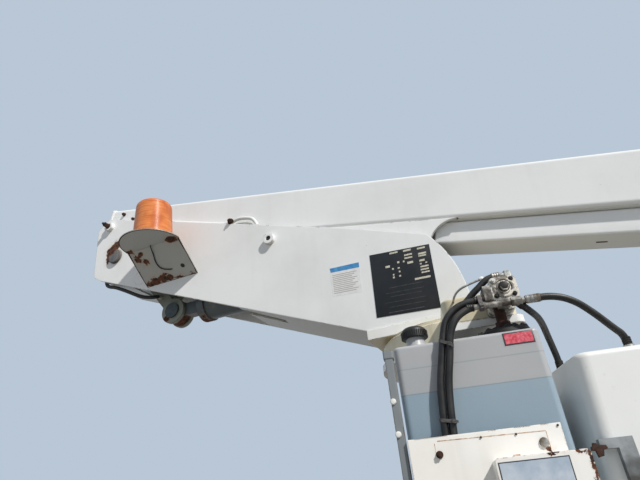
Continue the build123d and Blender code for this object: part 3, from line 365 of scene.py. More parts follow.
carried = {name: [] for name in lines}
ENDS = [("hose_outer", 0, 24, 9.3, black_steel), ("hose_outer", -1, 20, 9.0, black_steel),
        ("hose_inner", 0, 16, 8.8, black_steel), ("hose_inner", -1, 20, 9.0, black_steel),
        ("hose_right", -1, 18, 9.2, black_steel), ("hose_middle", -1, 18, 9.2, black_steel),
        ("hose_return", 0, 20, 9.2, zinc), ("hose_return", -1, 16, 9.2, black_steel),
        ("nose_hose", 0, 14, 9.2, zinc), ("nose_hose", -1, 16, 9.5, zinc)]
for name, end, length, radius, finish in ENDS:
    body, points = lines[name][0], lines[name][-1]
    crimp = hose_end(points[end], points[1 if end == 0 else -2] - points[end], length, radius)
    carried[name].append(piece_from("%s_end_%d" % (name, end % 2), body, "zinc_fittings", finish, crimp))

TIES = [((46, -483, 929), (46, -488, 912.5), (-1, 0, 0), 0.0096, 0.0045),
        ((-51.5, -484.3, 847), (-38.5, -489.2, 839), (-0.2, 0, -1), HOSE_DIAMETER / 2, 0.0035),
        ((-82.2, -486, 687), (-66.5, -487, 684), (-0.08, 0, -1), HOSE_DIAMETER / 2, 0.0035)]
for number, (left, right, down, reach, wide) in enumerate(TIES):
    loop = tie_round(deck(*left), deck(*right), deck(*down), reach, wide)
    tie = piece_from("hose_tie_%d" % number, "pedestal", "black_plastic", tie_nylon, loop)
    carried["hose_outer"].append(tie)

for name, (body, stiffness, length, diameter, points) in lines.items():
    curve = round_line(name + "_line", points, diameter / 2, hose_rubber)
    hose = new_piece(name + "_line", curve, body)
    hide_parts(name)


# Pedestal, shelf and gearbox: welded steel plate sprayed white, thin on the edges.
# Rust starts at edges, holes and welds; faces that look down are painted tan, as painted shade.
def enamel(name, colour="#ECEEEE", aged="#DEDFDB", under="#B7B2A4", edge_rust=0.5, run=0.10, spots=()):
    """Sprayed enamel, rusted at its edges and at spots (x, y, z, reach across, reach up) in mm."""
    material, add, shader, where = new_finish(name)
    cloud, patch, speckle, ripple, peel = (
        add("TexNoise", {"Vector": where, "Scale": scale, "Detail": detail, "Roughness": rough})
        for scale, detail, rough in ((3.2, 5, 0.6), (26, 5, 0.65), (95, 4, 0.6), (34, 5, 0.7), (650, 1, 0.5)))
    tall = add("Mapping", {"Vector": where, "Scale": (1, 1, 0.07)})
    streak = add("TexNoise", {"Vector": tall, "Scale": 34, "Detail": 3})
    worn = add("MapRange", (cloud, 0.45, 0.75))
    runs = add("MapRange", (streak, 0.55, 0.8, 0.0, run))
    rise = add("SeparateXYZ", {"Vector": where.node.outputs["Normal"]}).outputs["Z"]
    # faces that look down are mixed towards the under colour: painted shade
    down = add("MapRange", (rise, -0.35, -0.9, 0.0, 0.8))
    # rust at the edges: where a rounded corner's normal leaves the face's own
    rounded = add("Bevel", {"Radius": 0.004}, samples=4)
    face = add("NewGeometry", {}).outputs["Normal"]
    turn = add("VectorMath", (rounded, face), operation="DOT_PRODUCT")
    edge = add("MapRange", (turn, 0.995, 0.90))
    ragged = add("MapRange", (patch, 0.62 - 0.22 * edge_rust, 0.66 - 0.16 * edge_rust))
    rust = add("Math", (edge, ragged), operation="MULTIPLY")
    pin = add("MapRange", (speckle, 0.745, 0.76, 0.0, 0.6))
    rust = add("Math", (rust, pin), operation="MAXIMUM")
    # rust at the spots: a ragged bare middle with a stain round it
    shift = add("VectorMath", (ripple.outputs["Color"], (0.5, 0.5, 0.5)), operation="SUBTRACT")
    shift = add("VectorMath", (shift, 0.05), operation="SCALE")
    bent = add("VectorMath", (where, shift), operation="ADD")
    stain = pin
    for *place, across, up in spots:
        offset = add("VectorMath", (bent, Vector(place) / 1000), operation="SUBTRACT")
        reach = (1000 / across, 1000 / max(across, 20), 1000 / up)
        offset = add("VectorMath", (offset, reach), operation="MULTIPLY")
        far = add("VectorMath", (offset,), operation="LENGTH")
        near = add("MapRange", (far, 1.0, 0.3))
        bare = add("Math", (near, patch), operation="MULTIPLY")
        bare = add("MapRange", (bare, 0.22, 0.32))
        rust = add("Math", (rust, bare), operation="MAXIMUM")
        ring = add("MapRange", (far, 1.25, 0.4, 0.0, 0.55))
        stain = add("Math", (stain, ring), operation="MAXIMUM")
    stained = add("Math", (stain, patch), operation="MULTIPLY")
    flakes = add("MapRange", (speckle, 0.38, 0.62))
    iron = add("Mix", (flakes, srgb("#23140F"), srgb("#6C3D20")), data_type="RGBA")
    paint = srgb(colour)
    for amount, over in ((worn, srgb(aged)), (runs, srgb("#A49B88")), (down, srgb(under)),
                         (stained, srgb("#B5834F")), (rust, iron)):
        paint = add("Mix", (amount, paint, over), data_type="RGBA")
    gloss = add("MapRange", (rust, 0.1, 0.6, 0.34, 0.85))
    scale = add("Math", (rust, speckle), operation="MULTIPLY")
    height = add("Math", (peel, 0.12, scale), operation="MULTIPLY_ADD")
    bump = add("Bump", {"Height": height, "Strength": 0.55, "Distance": 0.0012, "Normal": rounded})
    fill(shader, {"Base Color": paint, "Roughness": gloss, "Normal": bump})
    return material


def dress(finish, *names):
    """Gives CAD pieces whose shape is right their finish."""
    for name in names:
        for material_slot in nodes[name].material_slots:
            material_slot.material = finish


# pedestal_enamel: plain white, chipped and rusting along its edges
pedestal_enamel = enamel("white enamel on the pedestal", edge_rust=0.7)
dress(pedestal_enamel, "base_flange", "pedestal_column", "pedestal_top_plate", "service_shelf", "shelf_frame")
# gearbox_enamel: the same paint stained yellow by old grease
gearbox_enamel = enamel("yellowed enamel on the gearbox", "#DCD5BE", "#BDB18C", "#B8A777", 0.6, 0.5)
dress(gearbox_enamel, "slew_gearbox", "slewing_ring", "turning_ring")
# collar_enamel: bright on its front edge where the lamp falls, yellow below as painted shade
collar_enamel = enamel("white enamel on the collar", "#F0F1F0", "#E4E4DE", "#C2B48C", 0.25)
dress(collar_enamel, "turret_base")
# strip_enamel: the upright's paint made dark grey, far darker than the white beside it
strip_enamel = enamel("dark grey enamel on the upright", "#7E8488", "#62686C", "#6A6862", 0.6, 0.3)
dress(strip_enamel, "tank_upright")
dress(zinc, "hose_fittings")
# manifold_zinc: the motor's port block, dark with oil and dust between its bare patches
manifold_zinc = mottled("oily zinc on the port block", "#55514D", "#B4B1AA", 60, (0.36, 0.62), 0.5, 0.3,
                        "#3A312A")
dress(manifold_zinc, "motor_manifold")


def placing_tree(name, sizes, axis, make):
    """A tree that sets a made part at each point, its axis along the point's way, and paints it."""
    group = bpy.data.node_groups.new(name, "GeometryNodeTree")
    sockets = [("Geometry", "OUTPUT", "Geometry"), ("Geometry", "INPUT", "Geometry")]
    sockets += [(size, "INPUT", kind) for size, kind in sizes] + [("Finish", "INPUT", "Material")]
    for label, side, kind in sockets:
        group.interface.new_socket(label, in_out=side, socket_type="NodeSocket" + kind)
    add = partial(add_node, group)
    given = add("NodeGroupInput", {}).outputs
    points = add("GeometryNodeMeshToPoints", {"Mesh": given["Geometry"]})
    way = add("GeometryNodeInputNamedAttribute", {"Name": "way"}, data_type="FLOAT_VECTOR")
    turn = add("FunctionNodeAlignRotationToVector", {"Vector": way}, axis=axis)
    made = make(add, given)
    placed = add("GeometryNodeInstanceOnPoints", {"Points": points, "Instance": made, "Rotation": turn})
    real = add("GeometryNodeRealizeInstances", {"Geometry": placed})
    painted = add("GeometryNodeSetMaterial", {"Geometry": real, "Material": given["Finish"]})
    add("NodeGroupOutput", (painted,))
    return group


def plain_mesh(holder):
    """The mesh that an object's curve or modifier comes to; the object itself goes."""
    evaluated = holder.evaluated_get(bpy.context.evaluated_depsgraph_get())
    mesh = bpy.data.meshes.new_from_object(evaluated)
    bpy.data.objects.remove(holder)
    return mesh


def run_tree(group, name, body, places, values):
    """Runs a tree at (place, direction) pairs and keeps the result as a plain piece."""
    mesh = bpy.data.meshes.new(name + "_at")
    mesh.from_pydata([tuple(place) for place, _ in places], [], [])
    way = mesh.attributes.new("way", "FLOAT_VECTOR", "POINT")
    for item, (_, direction) in zip(way.data, places):
        item.vector = Vector(direction).normalized()
    holder = linked(name + "_points", mesh)
    modifier = holder.modifiers.new("nodes", "NODES")
    modifier.node_group = group
    for item in group.interface.items_tree:
        if item.in_out == "INPUT" and item.name in values:
            modifier[item.identifier] = values[item.name]
    return smooth_piece(name, plain_mesh(holder), body)


def screw_head(add, given):
    """A hexagon head on its washer, with the end of the stud showing."""
    height = given["Head height"]
    stud = add("Math", (given["Head radius"], 0.5), operation="MULTIPLY")
    head = add("GeometryNodeJoinGeometry", {})
    for sides, radius, depth, lift in ((12, stud, height, 0.9), (24, given["Washer radius"], 0.004, 0.0),
                                       (6, given["Head radius"], height, 0.5)):
        solid = add("GeometryNodeMeshCylinder", {"Vertices": sides, "Radius": radius, "Depth": depth})
        raised = add("Math", (depth, lift), operation="MULTIPLY")
        shift = add("CombineXYZ", {"Z": raised})
        fill(head, (add("GeometryNodeTransform", {"Geometry": solid, "Translation": shift}),))
    return head


SCREW_SIZES = ("Head radius", "Head height", "Washer radius")
screw_tree = placing_tree("hexagon screws", [(size, "Float") for size in SCREW_SIZES], "Z", screw_head)


def screws(name, body, slot, finish, places, *sizes):
    """Hexagon screws at (place, direction) pairs; head radius, head height, washer in millimetres."""
    values = {label: size / 1000 for label, size in zip(SCREW_SIZES, sizes)}
    return run_tree(screw_tree, name, body, places, {**values, "Finish": finish})


screws("flange_bolts", "pedestal", "zinc_fittings", zinc,
       [((0.26 * c, 0.26 * s, 0.0255), (0, 0, 1)) for c, s in around(8)], 20.5, 15, 22)
# white_plastic: white moulded caps and the bleed rod's knob
white_plastic = mottled("white moulded plastic", "#DADAD6", "#F2F2EF", 90, (0.3, 0.4))
round_cap = [(0, 0), (6.2, 0), (6.2, 2.5), (4.8, 4.5), (0, 5.5)]
piece_from("upright_caps", "pedestal", "zinc_fittings", white_plastic,
           *[turned(round_cap, pointing(deck(-176.5, -502, z), DECK_FRONT), 24) for z in (734, 670)])

# Tank apron and valve cover: folded sheet steel, sprayed white and screwed to the shelf.
# A rolled panel shows as a rusty line; the cover's top edge has rusted through its paint.
APRON_FACE, COVER_FACE = -510, -562
DECK_SPOTS = [((96, APRON_FACE - 1, 614), 12, 12), ((90, COVER_FACE, 604), 20, 5),
              ((128, COVER_FACE, 604), 30, 7), ((151, COVER_FACE, 590), 7, 30),
              ((151, COVER_FACE, 560), 5, 20)]
RUST_SPOTS = [(*deck(*place) * 1000, across, up) for place, across, up in DECK_SPOTS]
apron_enamel = enamel("rusting enamel on the apron", "#F1F0EC", "#E6E3DA", edge_rust=0.6, spots=RUST_SPOTS)
dress(apron_enamel, "tank_apron", "valve_cover")
# rusty_iron: small screws and clips with no paint left
rusty_iron = mottled("rusted screws and clips", "#1D120E", "#4C2B1C", 120, (0.8, 0.9), 0.0, 0.7)
screws("apron_screws", "pedestal", "bare_steel", rusty_iron,
       [(deck(a, APRON_FACE, z), DECK_FRONT) for a, z in ((-21, 646.6), (44, 645), (122, 652))], 1.6, 1, 2)
screws("apron_left_bolt", "pedestal", "bare_steel", rusty_iron,
       [(deck(-103.8, APRON_FACE, 624.5), DECK_FRONT)], 6.5, 6, 7)


def oblong(left, right, low, high):
    """A rectangle's outline."""
    return [(left, low), (right, low), (right, high), (left, high)]


def slab(outline, place, thickness, edge=0, lift=0):
    """A plate, all in millimetres: an outline in the frame's X and Y, thickened along its Z.

    Its outer edge may be rounded, and it may be lifted off the frame.
    """
    shape = bmesh.new()
    face = shape.faces.new([shape.verts.new((x / 1000, y / 1000, 0)) for x, y in outline])
    top = bmesh.ops.extrude_face_region(shape, geom=[face])["geom"]
    raised = [v for v in top if isinstance(v, bmesh.types.BMVert)]
    bmesh.ops.translate(shape, verts=raised, vec=(0, 0, thickness / 1000))
    bmesh.ops.recalc_face_normals(shape, faces=shape.faces)
    if edge:
        rim = [e for e in shape.edges if all(v in raised for v in e.verts)]
        bmesh.ops.bevel(shape, geom=rim, offset=edge / 1000, segments=2, affect="EDGES", profile=0.5)
    lifted = place @ Matrix.Translation((0, 0, lift / 1000))
    bmesh.ops.transform(shape, matrix=lifted, verts=shape.verts)
    return shape


def deck_face(b):
    """A frame on the deck's front at b: X along the deck and Y up."""
    return frame_at(deck(0, b, 0), DECK_ALONG, DECK_FRONT)


# grey_steel: zinc-plated steel gone dull grey in the weather
grey_steel = mottled("weathered grey steel", "#5E6468", "#9A9FA2", 22, (0.45, 0.65), 0.35, 0.3, "#4B4A48")
# seam_rust: rust weeping thinly out of the panel's seam, over the paint
seam_rust = mottled("rust weeping from a seam", "#A0673A", "#EDE3D2", 75, (0.6, 0.8))
# FILM: how thick rust and print are drawn over the paint, thicker than they are so that they show
FILM = 0.4
SEAMS =[[(-103.6, 648.2), (98.7, 644.5), (98.7, 645.7), (-103.6, 649.6)], oblong(98, 99.1, 616, 644),
         oblong(-110.3, -109.2, 626, 645), oblong(29, 42, 607.6, 610.2)]
piece_from("panel_seam", "pedestal", "white_enamel", seam_rust,
           *[slab(outline, deck_face(APRON_FACE), FILM) for outline in SEAMS])
round_bolt = [(0, 0), (8.8, 0), (8.8, 2.2), (7.8, 3.6), (0, 4.2)]
piece_from("apron_bolt", "pedestal", "zinc_fittings", zinc,
           turned(round_bolt, pointing(deck(89.7, APRON_FACE, 625.4), DECK_FRONT)))
# panel_blue and panel_edge: the cover's printed panel, left blank inside its dark border
panel_edge = mottled("dark printed border", "#2C3036", "#43474D", 120, (0.4, 0.5))
panel_blue = mottled("faded blue printed panel", "#9FAEC0", "#BFCAD6", 24, (0.38, 0.5))
piece_from("panel_border", "pedestal", "white_enamel", panel_edge,
           slab(oblong(-7.5, 114, 446, 597), deck_face(COVER_FACE), FILM))
piece_from("panel_blank", "pedestal", "white_enamel", panel_blue,
           slab(oblong(-5.5, 112, 448, 595), deck_face(COVER_FACE), 0.3, lift=FILM))

# Latch frame: bent steel strap, its zinc gone dull grey, with a rusted clip hooked on it.
# The strap is screwed to the cover's front and catches the valve cover's corner.
dress(grey_steel, "latch_frame")
STRAP_FACE = -486
CLIP = [(5, [(171, 604), (186, 601), (201, 605), (199, 611), (181, 613), (172, 610)]),
        (6.5, [(180, 591), (190, 593), (193, 604), (178, 606)]),
        (3, [(175, 611), (188, 610), (184, 616), (177, 617)])]
piece_from("rusted_clip", "pedestal", "bare_steel", rusty_iron,
           *[slab(outline, deck_face(STRAP_FACE), thickness, edge=1) for thickness, outline in CLIP])

# Swing motor: grey cast iron, its paint and plating gone patchy, greasy round the hub.
# Four screws hold the square end cap, and a hexagon plug closes the middle.
worn_casting, add, shader, where = new_finish("worn paint on grey iron")
patch = add("TexNoise", {"Vector": where, "Scale": 55, "Detail": 5, "Roughness": 0.65})
fine = add("TexNoise", {"Vector": where, "Scale": 260, "Detail": 3})
bare = add("Mix", (fine, srgb("#4A4541"), srgb("#A09A90")), data_type="RGBA")
left_on = add("MapRange", (patch, 0.45, 0.53))
colour = add("Mix", (left_on, bare, srgb("#DCD8CE")), data_type="RGBA")
pits = add("MapRange", (fine, 0.62, 0.7))
colour = add("Mix", (pits, colour, srgb("#5C4534")), data_type="RGBA")
gloss = add("MapRange", (patch, 0.45, 0.6, 0.6, 0.4))
bump = add("Bump", {"Height": fine, "Strength": 0.5, "Distance": 0.001})
fill(shader, {"Base Color": colour, "Roughness": gloss, "Normal": bump, "Metallic": 0.2})
dress(worn_casting, "swing_motor")
MOTOR_A, MOTOR_Z, CAP_FACE, CAP_HOLE = 105.3, 951.3, -480, 19.4
screws("motor_cap_screws", "pedestal", "zinc_fittings", zinc,
       [(deck(MOTOR_A - CAP_HOLE, CAP_FACE, MOTOR_Z + 18), DECK_FRONT)], 6.2, 6, 7.5)
screws("motor_dark_screws", "pedestal", "zinc_fittings", black_steel,
       [(deck(MOTOR_A + a, CAP_FACE, MOTOR_Z + z), DECK_FRONT)
        for a, z in ((CAP_HOLE, 18), (CAP_HOLE, -18), (-CAP_HOLE, -18))], 4.8, 4, 5.5)
MOTOR_AT = pointing(deck(MOTOR_A, CAP_FACE, MOTOR_Z), DECK_FRONT)
hub = [(23.5, -1), (23.5, 2), (21.5, 3.5), (18.5, 3.5), (18, 1.2), (15.5, 1.2), (15, 5.6), (12.5, 6)]
piece_from("motor_hub", "pedestal", "motor_casting", worn_casting, turned(hub, MOTOR_AT))
plug = [(10.5, 4.9), (10.5, 13.8), (8.5, 14.6), (0, 14.6)]
piece_from("motor_plug", "pedestal", "bare_steel", black_steel, turned(plug, MOTOR_AT, 6))
recess = [(14.2, 4.9), (14.2, 5.2), (9.8, 5.3), (0, 5.3)]
piece_from("motor_hub_recess", "pedestal", "bare_steel", black_steel, turned(recess, MOTOR_AT))
piece_from("hose_right_end_0", "pedestal", "zinc_fittings", zinc,
           hose_end(deck(142, -488, 912.5), DECK_ALONG, 29, 9.4))
branch = deck(133.9, -474.6, 905) - deck(121, -488, 912.5)
piece_from("hose_middle_end_0", "pedestal", "zinc_fittings", black_steel,
           hose_end(deck(125, -483.8, 910.2), branch, 16, 9.4))


# Bleed rod: thin zinc-plated rod with a white knob, screwed into the gearbox's front.
# It bends forward and up past the motor so that a hand can reach it.
def stiff_line(name, body, finish, points, radius):
    """A rod or tube that never bends: a round line kept as a plain mesh."""
    holder = linked(name + "_line", round_line(name + "_line", points, radius, finish))
    return new_piece(name, plain_mesh(holder), body)


BLEED_ROD = [(70, -440, 995.5), (34, -440, 986.7), (12, -428, 981), (2, -390, 978), (2, -358, 978)]
rod = [deck(*point) for point in BLEED_ROD]
stiff_line("bleed_rod", "pedestal", zinc, rod, 0.0026)
knob = [(0, -6), (4.5, -5), (6, -1), (6, 2), (4, 5.5), (0, 6.5)]
piece_from("bleed_knob", "pedestal", "zinc_fittings", white_plastic,
           turned(knob, pointing(rod[0], rod[0] - rod[1]), 24))

# Oil tank: rotationally moulded white polyethylene, thin enough to show the oil's level.
# Below the level the wall looks blue-grey; a faint line marks where the mould's halves met.
OIL_LEVEL, MOULD_LINE = 0.749, 0.803
tank_plastic, add, shader, where = new_finish("translucent moulded polyethylene")
height = add("SeparateXYZ", {"Vector": where}).outputs["Z"]
haze = add("TexNoise", {"Vector": where, "Scale": 3, "Detail": 3})
hazy = add("MapRange", (haze, 0.4, 0.65))
dry = add("Mix", (hazy, srgb("#ACAEB1"), srgb("#A3A7AB")), data_type="RGBA")
wet = add("Mix", (hazy, srgb("#95A7B4"), srgb("#8A9EAC")), data_type="RGBA")
level = add("MapRange", (height, OIL_LEVEL + 0.0015, OIL_LEVEL - 0.0015))
colour = add("Mix", (level, dry, wet), data_type="RGBA")
for line_height, strength in ((OIL_LEVEL, 0.5), (MOULD_LINE, 0.35)):
    gap = add("Math", (height, line_height), operation="SUBTRACT")
    gap = add("Math", (gap,), operation="ABSOLUTE")
    mark = add("MapRange", (gap, 0.0018, 0.0005, 0.0, strength))
    colour = add("Mix", (mark, colour, srgb("#6F7C84")), data_type="RGBA")
grain = add("TexNoise", {"Vector": where, "Scale": 180, "Detail": 2})
bump = add("Bump", {"Height": grain, "Strength": 0.15, "Distance": 0.0008})
fill(shader, {"Base Color": colour, "Normal": bump, "Roughness": 0.42, "Subsurface Weight": 0.25,
              "Subsurface Radius": (0.02, 0.022, 0.025), "Subsurface Scale": 1.0})
dress(tank_plastic, "reservoir")

# Filler cap and lid: a ribbed black cap on a white neck, and a black rubber lid whose
# torn upper edge stands up round the drain stem; the stem is bare, rusted steel.
# black_plastic: moulded polypropylene of the cap, lid and beacon's base
black_plastic = mottled("moulded black polypropylene", "#0D0D0E", "#262423", 80, (0.42, 0.6), 0.0, 0.2)
dress(black_plastic, "beacon_base")
CAP_AT = Matrix.Translation(deck(-108.6, -425, 0))
neck = [(0, 855.5), (22.5, 855.5), (22.5, 862), (21.2, 864), (21.2, 880), (0, 880)]
piece_from("filler_neck", "pedestal", "tank_plastic", tank_plastic, turned(neck, CAP_AT))
dome = [(0, 880), (29.2, 880), (29.2, 895), (28, 899.5), (25, 903.5), (20, 906.2), (10, 907.6), (0, 907.9)]
cap = piece_from("filler_cap_dome", "pedestal", "black_plastic", black_plastic, turned(dome, CAP_AT, 60))
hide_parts("filler_cap")


def cap_rib(add, given):
    """One upright rib of the cap."""
    return add("GeometryNodeMeshCube", {"Size": given["Rib size"]})


rib_tree = placing_tree("cap ribs", [("Rib size", "Vector")], "X", cap_rib)
RIBS, RIB_RING, RIB_MIDDLE = 40, 0.0294, 0.8885
ribs = [(CAP_AT @ Vector((RIB_RING * c, RIB_RING * s, RIB_MIDDLE)), (c, s, 0)) for c, s in around(RIBS)]
run_tree(rib_tree, "filler_cap_ribs", "pedestal", ribs,
         {"Rib size": (0.003, 0.0022, 0.015), "Finish": black_plastic})

LID_SEAT, LID_RIM, LID_CROWN, LID_STEPS = 855.5, 866.5, 870.5, 72
LID_AT = Matrix.Translation(deck(92, -405, 0))
flat_lid = [(0, LID_SEAT), (60, LID_SEAT), (60, LID_RIM - 1), (59, LID_RIM), (45, LID_RIM), (44, LID_CROWN),
            (0, LID_CROWN)]
lid = piece_from("reservoir_lid_flat", "pedestal", "black_plastic", black_plastic,
                 turned(flat_lid, LID_AT, LID_STEPS))
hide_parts("reservoir_lid")
torn = bmesh.new()
torn_rows = []
for i in range(LID_STEPS):
    t = 2 * pi * i / LID_STEPS
    tear = 6 + 4 * sin(5 * t + 0.6) * sin(3 * t) + 2.5 * sin(17 * t)
    wall = ((58.8, LID_RIM - 1), (58.5 - 0.3 * tear, LID_RIM + tear),
            (56.5 - 0.3 * tear, LID_RIM + tear), (57, LID_RIM - 1))
    torn_rows.append([torn.verts.new(LID_AT @ (Vector((r * cos(t), r * sin(t), z)) / 1000))
                      for r, z in wall])
band(torn, torn_rows)
piece_from("torn_lid_edge", "pedestal", "black_plastic", black_plastic, torn)
STEM_AT = Matrix.Translation(deck(90, -440, 0))
stem = [(0, LID_CROWN), (12.1, LID_CROWN), (12.2, 900), (12.1, 920.5), (0, 920.5)]
piece_from("rusted_stem", "pedestal", "bare_steel", rusty_iron, turned(stem, STEM_AT, 24))
stem_nut = [(0, LID_CROWN), (16.5, LID_CROWN), (16.5, 885), (12.5, 885.3), (0, 885.3)]
piece_from("rusted_stem_nut", "pedestal", "bare_steel", rusty_iron, turned(stem_nut, STEM_AT, 6))

# Tag: a red printed plastic strip in a black border, stuck to the tank's front, left blank.
# The print has faded in patches.
TANK_FACE, TAG_THICK = -470, 0.9
red_print = mottled("faded red print", "#C02840", "#E07683", 160, (0.45, 0.55))
piece_from("tag_border", "pedestal", "black_plastic", panel_edge,
           slab(oblong(76, 139, 823.5, 850.5), deck_face(TANK_FACE), TAG_THICK, edge=0.3))
piece_from("tag_blank", "pedestal", "black_plastic", red_print,
           slab(oblong(78.5, 136.5, 826, 848), deck_face(TANK_FACE), 0.4, lift=TAG_THICK))

# Power pack cover and bucket: glass fibre with white gelcoat, laid up in a mould.
# The gelcoat has chalked, so it is dull, with grey dust low on its sides.
gelcoat, add, shader, where = new_finish("chalked white gelcoat")
cloud = add("TexNoise", {"Vector": where, "Scale": 4, "Detail": 5})
fine = add("TexNoise", {"Vector": where, "Scale": 60, "Detail": 4})
chalk = add("MapRange", (cloud, 0.4, 0.7))
colour = add("Mix", (chalk, srgb("#E9EBEB"), srgb("#DEE0DE")), data_type="RGBA")
specks = add("MapRange", (fine, 0.66, 0.8, 0.0, 0.3))
colour = add("Mix", (specks, colour, srgb("#9E9787")), data_type="RGBA")
gloss = add("MapRange", (cloud, 0.3, 0.7, 0.32, 0.5))
bump = add("Bump", {"Height": cloud, "Strength": 0.1, "Distance": 0.002})
fill(shader, {"Base Color": colour, "Roughness": gloss, "Normal": bump})
dress(gelcoat, "power_pack_cover", "bucket")

# Turret: two side plates cut from 10 mm sheet and welded to the collar, sprayed white.
# Rust shows as a crescent over the pivot pin and along the lower edges.
turret_enamel = enamel("white enamel on the turret", "#EDEFF0", "#E1E3E2", edge_rust=0.3, run=0.06, spots=[
    (-1366, -130, 1618, 28, 40), (-1360, -130, 1646, 38, 38), (-1346, -130, 1666, 42, 36),
    (-1328, -130, 1678, 42, 30)])
dress(turret_enamel, "turret_side_near", "turret_side_far", "rope_sleeves")
# belly_enamel: the underside plates, dull, darker and tan: road dirt and painted shade
belly_enamel = enamel("dirty, shaded enamel under the turret", "#C9C7BF", "#B3AFA3", "#A39D90", 0.8, 0.4)
dress(belly_enamel, "turret_belly", "turret_rear_wrap")
# pin_steel: turned steel with a brown film of old grease
pin_steel = mottled("greasy turned steel", "#45484A", "#7E8285", 35, (0.35, 0.6), 0.7, 0.2, "#3E2C20")
dress(pin_steel, "bucket_pin")
# pin_film: the pivot pin's end, brown with rust along its upper left
pin_film = enamel("rusting film on the pivot pin", "#4E565D", "#3A3F44", "#33291F", 0.9, 0.5, spots=[
    (-1352, -145, 1634, 34, 30), (-1336, -145, 1646, 30, 16)])
dress(pin_film, "pivot_pin")

TURRET_HALF = 0.13
NEAR = frame_at((0, -TURRET_HALF, 0), (1, 0, 0), (0, -1, 0))


def disc(radius, thickness, low=0):
    """A flat disc's profile."""
    return [(0, low), (radius, low), (radius, low + thickness), (0, low + thickness)]


piece_from("cross_tube_caps", "turret", "white_enamel", turret_enamel,
           *[turned(disc(31.2, FILM), pointing((-1.175, side * TURRET_HALF, 1.472), (0, side, 0)))
             for side in (-1, 1)])
# A black disc at the bottom of the near sleeve's blind bore: painted shade in the hole.
piece_from("sleeve_bore_shade_near", "turret", "black_plastic", black_plastic,
           turned(disc(10.2, 0.8, 0.4), NEAR @ Matrix.Translation((-0.554, 1.463, 0.011)), 24))
screws("boss_bolts", "turret", "bare_steel", rusty_iron,
       [((-1.385, side * 0.1455, 1.786), (0, side, 0)) for side in (-1, 1)], 10.5, 24, 13)

# Rating plate: black anodised aluminium with pale data fields, riveted to the near plate.
# The fields and rules are left blank.
plate_black = mottled("black anodised plate", "#0E0E10", "#1B1C1E", 14, (0.3, 0.5))
# field_silver: etched aluminium; rule_grey: printed rules worn faint
field_silver = mottled("bare aluminium data fields", "#A8A493", "#EAE5D6", 250, (0.35, 0.45))
rule_grey = mottled("worn grey rules", "#2E2F31", "#5A5B5C", 120, (0.4, 0.5))
PLATE_TILT, PRINT_LIFT = radians(-3.0), 1.1
PLATE = [(-187.1, 1065.2), (14.3, 1051.9), (20.5, 1268.3), (-180.1, 1285.5)]
FIELDS = [(-98, 1271, 28, 6), (-53, 1267, 26, 6.4), (-52, 1251, 26, 5.4), (-53, 1240, 26, 5.4),
          (-50, 1222, 19, 7.6), (-70, 1231, 5, 5.9), (-88, 1233, 7, 7.2),
          (-7, 1262, 26, 5.9), (-7, 1243, 26, 6.3), (-8, 1235, 25, 4.9),
          (-12, 1219, 17, 6.6), (-18, 1208, 6, 5.3), (0, 1208, 6, 4.4),
          (-125, 1227, 15, 7.3), (-109, 1215, 6, 5.8), (-90, 1213, 7, 4.9),
          (-8, 1197, 26, 5.2), (-9, 1187, 26, 5.2), (-8, 1177, 26, 4.7),
          (-89, 1200, 5, 5.3), (-110, 1194, 5, 5.3), (-90, 1185, 6, 5.7),
          (-111, 1185, 6, 6.2), (-21, 1160, 50, 6.4)]
RULES = [(-78, 1150, 108, 1.4), (-84, 1133, 124, 1.0), (-82, 1120, 100, 1.0), (-88, 1102, 128, 1.0),
         (-84, 1086, 118, 1.0), (-90, 1069, 112, 2.2)]
piece_from("rating_plate", "turret", "black_plastic", plate_black, slab(PLATE, NEAR, 1.2, edge=0.3))


def tilted(x, z, wide, high):
    """A small rectangle on the rating plate, turned as the plate is."""
    c, s = cos(PLATE_TILT), sin(PLATE_TILT)
    corners = oblong(-wide / 2, wide / 2, -high / 2, high / 2)
    return [(x + i * c - j * s, z + i * s + j * c) for i, j in corners]


piece_from("rating_plate_fields", "turret", "bare_steel", field_silver,
           *[slab(tilted(*field), NEAR, 0.3, lift=PRINT_LIFT) for field in FIELDS])
piece_from("rating_plate_rules", "turret", "black_plastic", rule_grey,
           *[slab(tilted(*rule), NEAR, 0.2, lift=PRINT_LIFT) for rule in RULES])

# Sticker: white vinyl with a blue band and grey blank lines, a little wrinkled by the sun.
vinyl_white = mottled("white vinyl", "#DFE1E1", "#ECEDEC", 60, (0.35, 0.45))
vinyl_blue = mottled("blue printed band", "#2F7FBE", "#5BA0D0", 60, (0.35, 0.45))
line_grey = mottled("grey printed lines", "#A9A6A6", "#C6C3C1", 200, (0.4, 0.5))
VINYL = 0.3
STICKER = [(-326.7, 1172.6), (-222.3, 1164.3), (-220.2, 1272.4), (-326.9, 1277.3)]
BAND = [(-324.8, 1260.6), (-221.2, 1253.6), (-220.4, 1271.8), (-326.5, 1276.8)]
piece_from("sticker_blank", "turret", "white_enamel", vinyl_white, slab(STICKER, NEAR, VINYL))
piece_from("sticker_band", "turret", "white_enamel", vinyl_blue, slab(BAND, NEAR, 0.2, lift=VINYL))
LINE_LEFT, LINE_FALL = -320, 0.055
printed = []
for i in range(11):
    low, high = 1246.5 - 6.6 * i, 1249.5 - 6.6 * i
    right = -232 - 9 * (i % 3)
    fall = LINE_FALL * (right - LINE_LEFT)
    quad = [(LINE_LEFT, low), (right, low - fall), (right, high - fall), (LINE_LEFT, high)]
    printed.append(slab(quad, NEAR, 0.1, lift=VINYL))
piece_from("sticker_lines", "turret", "white_enamel", line_grey, *printed)

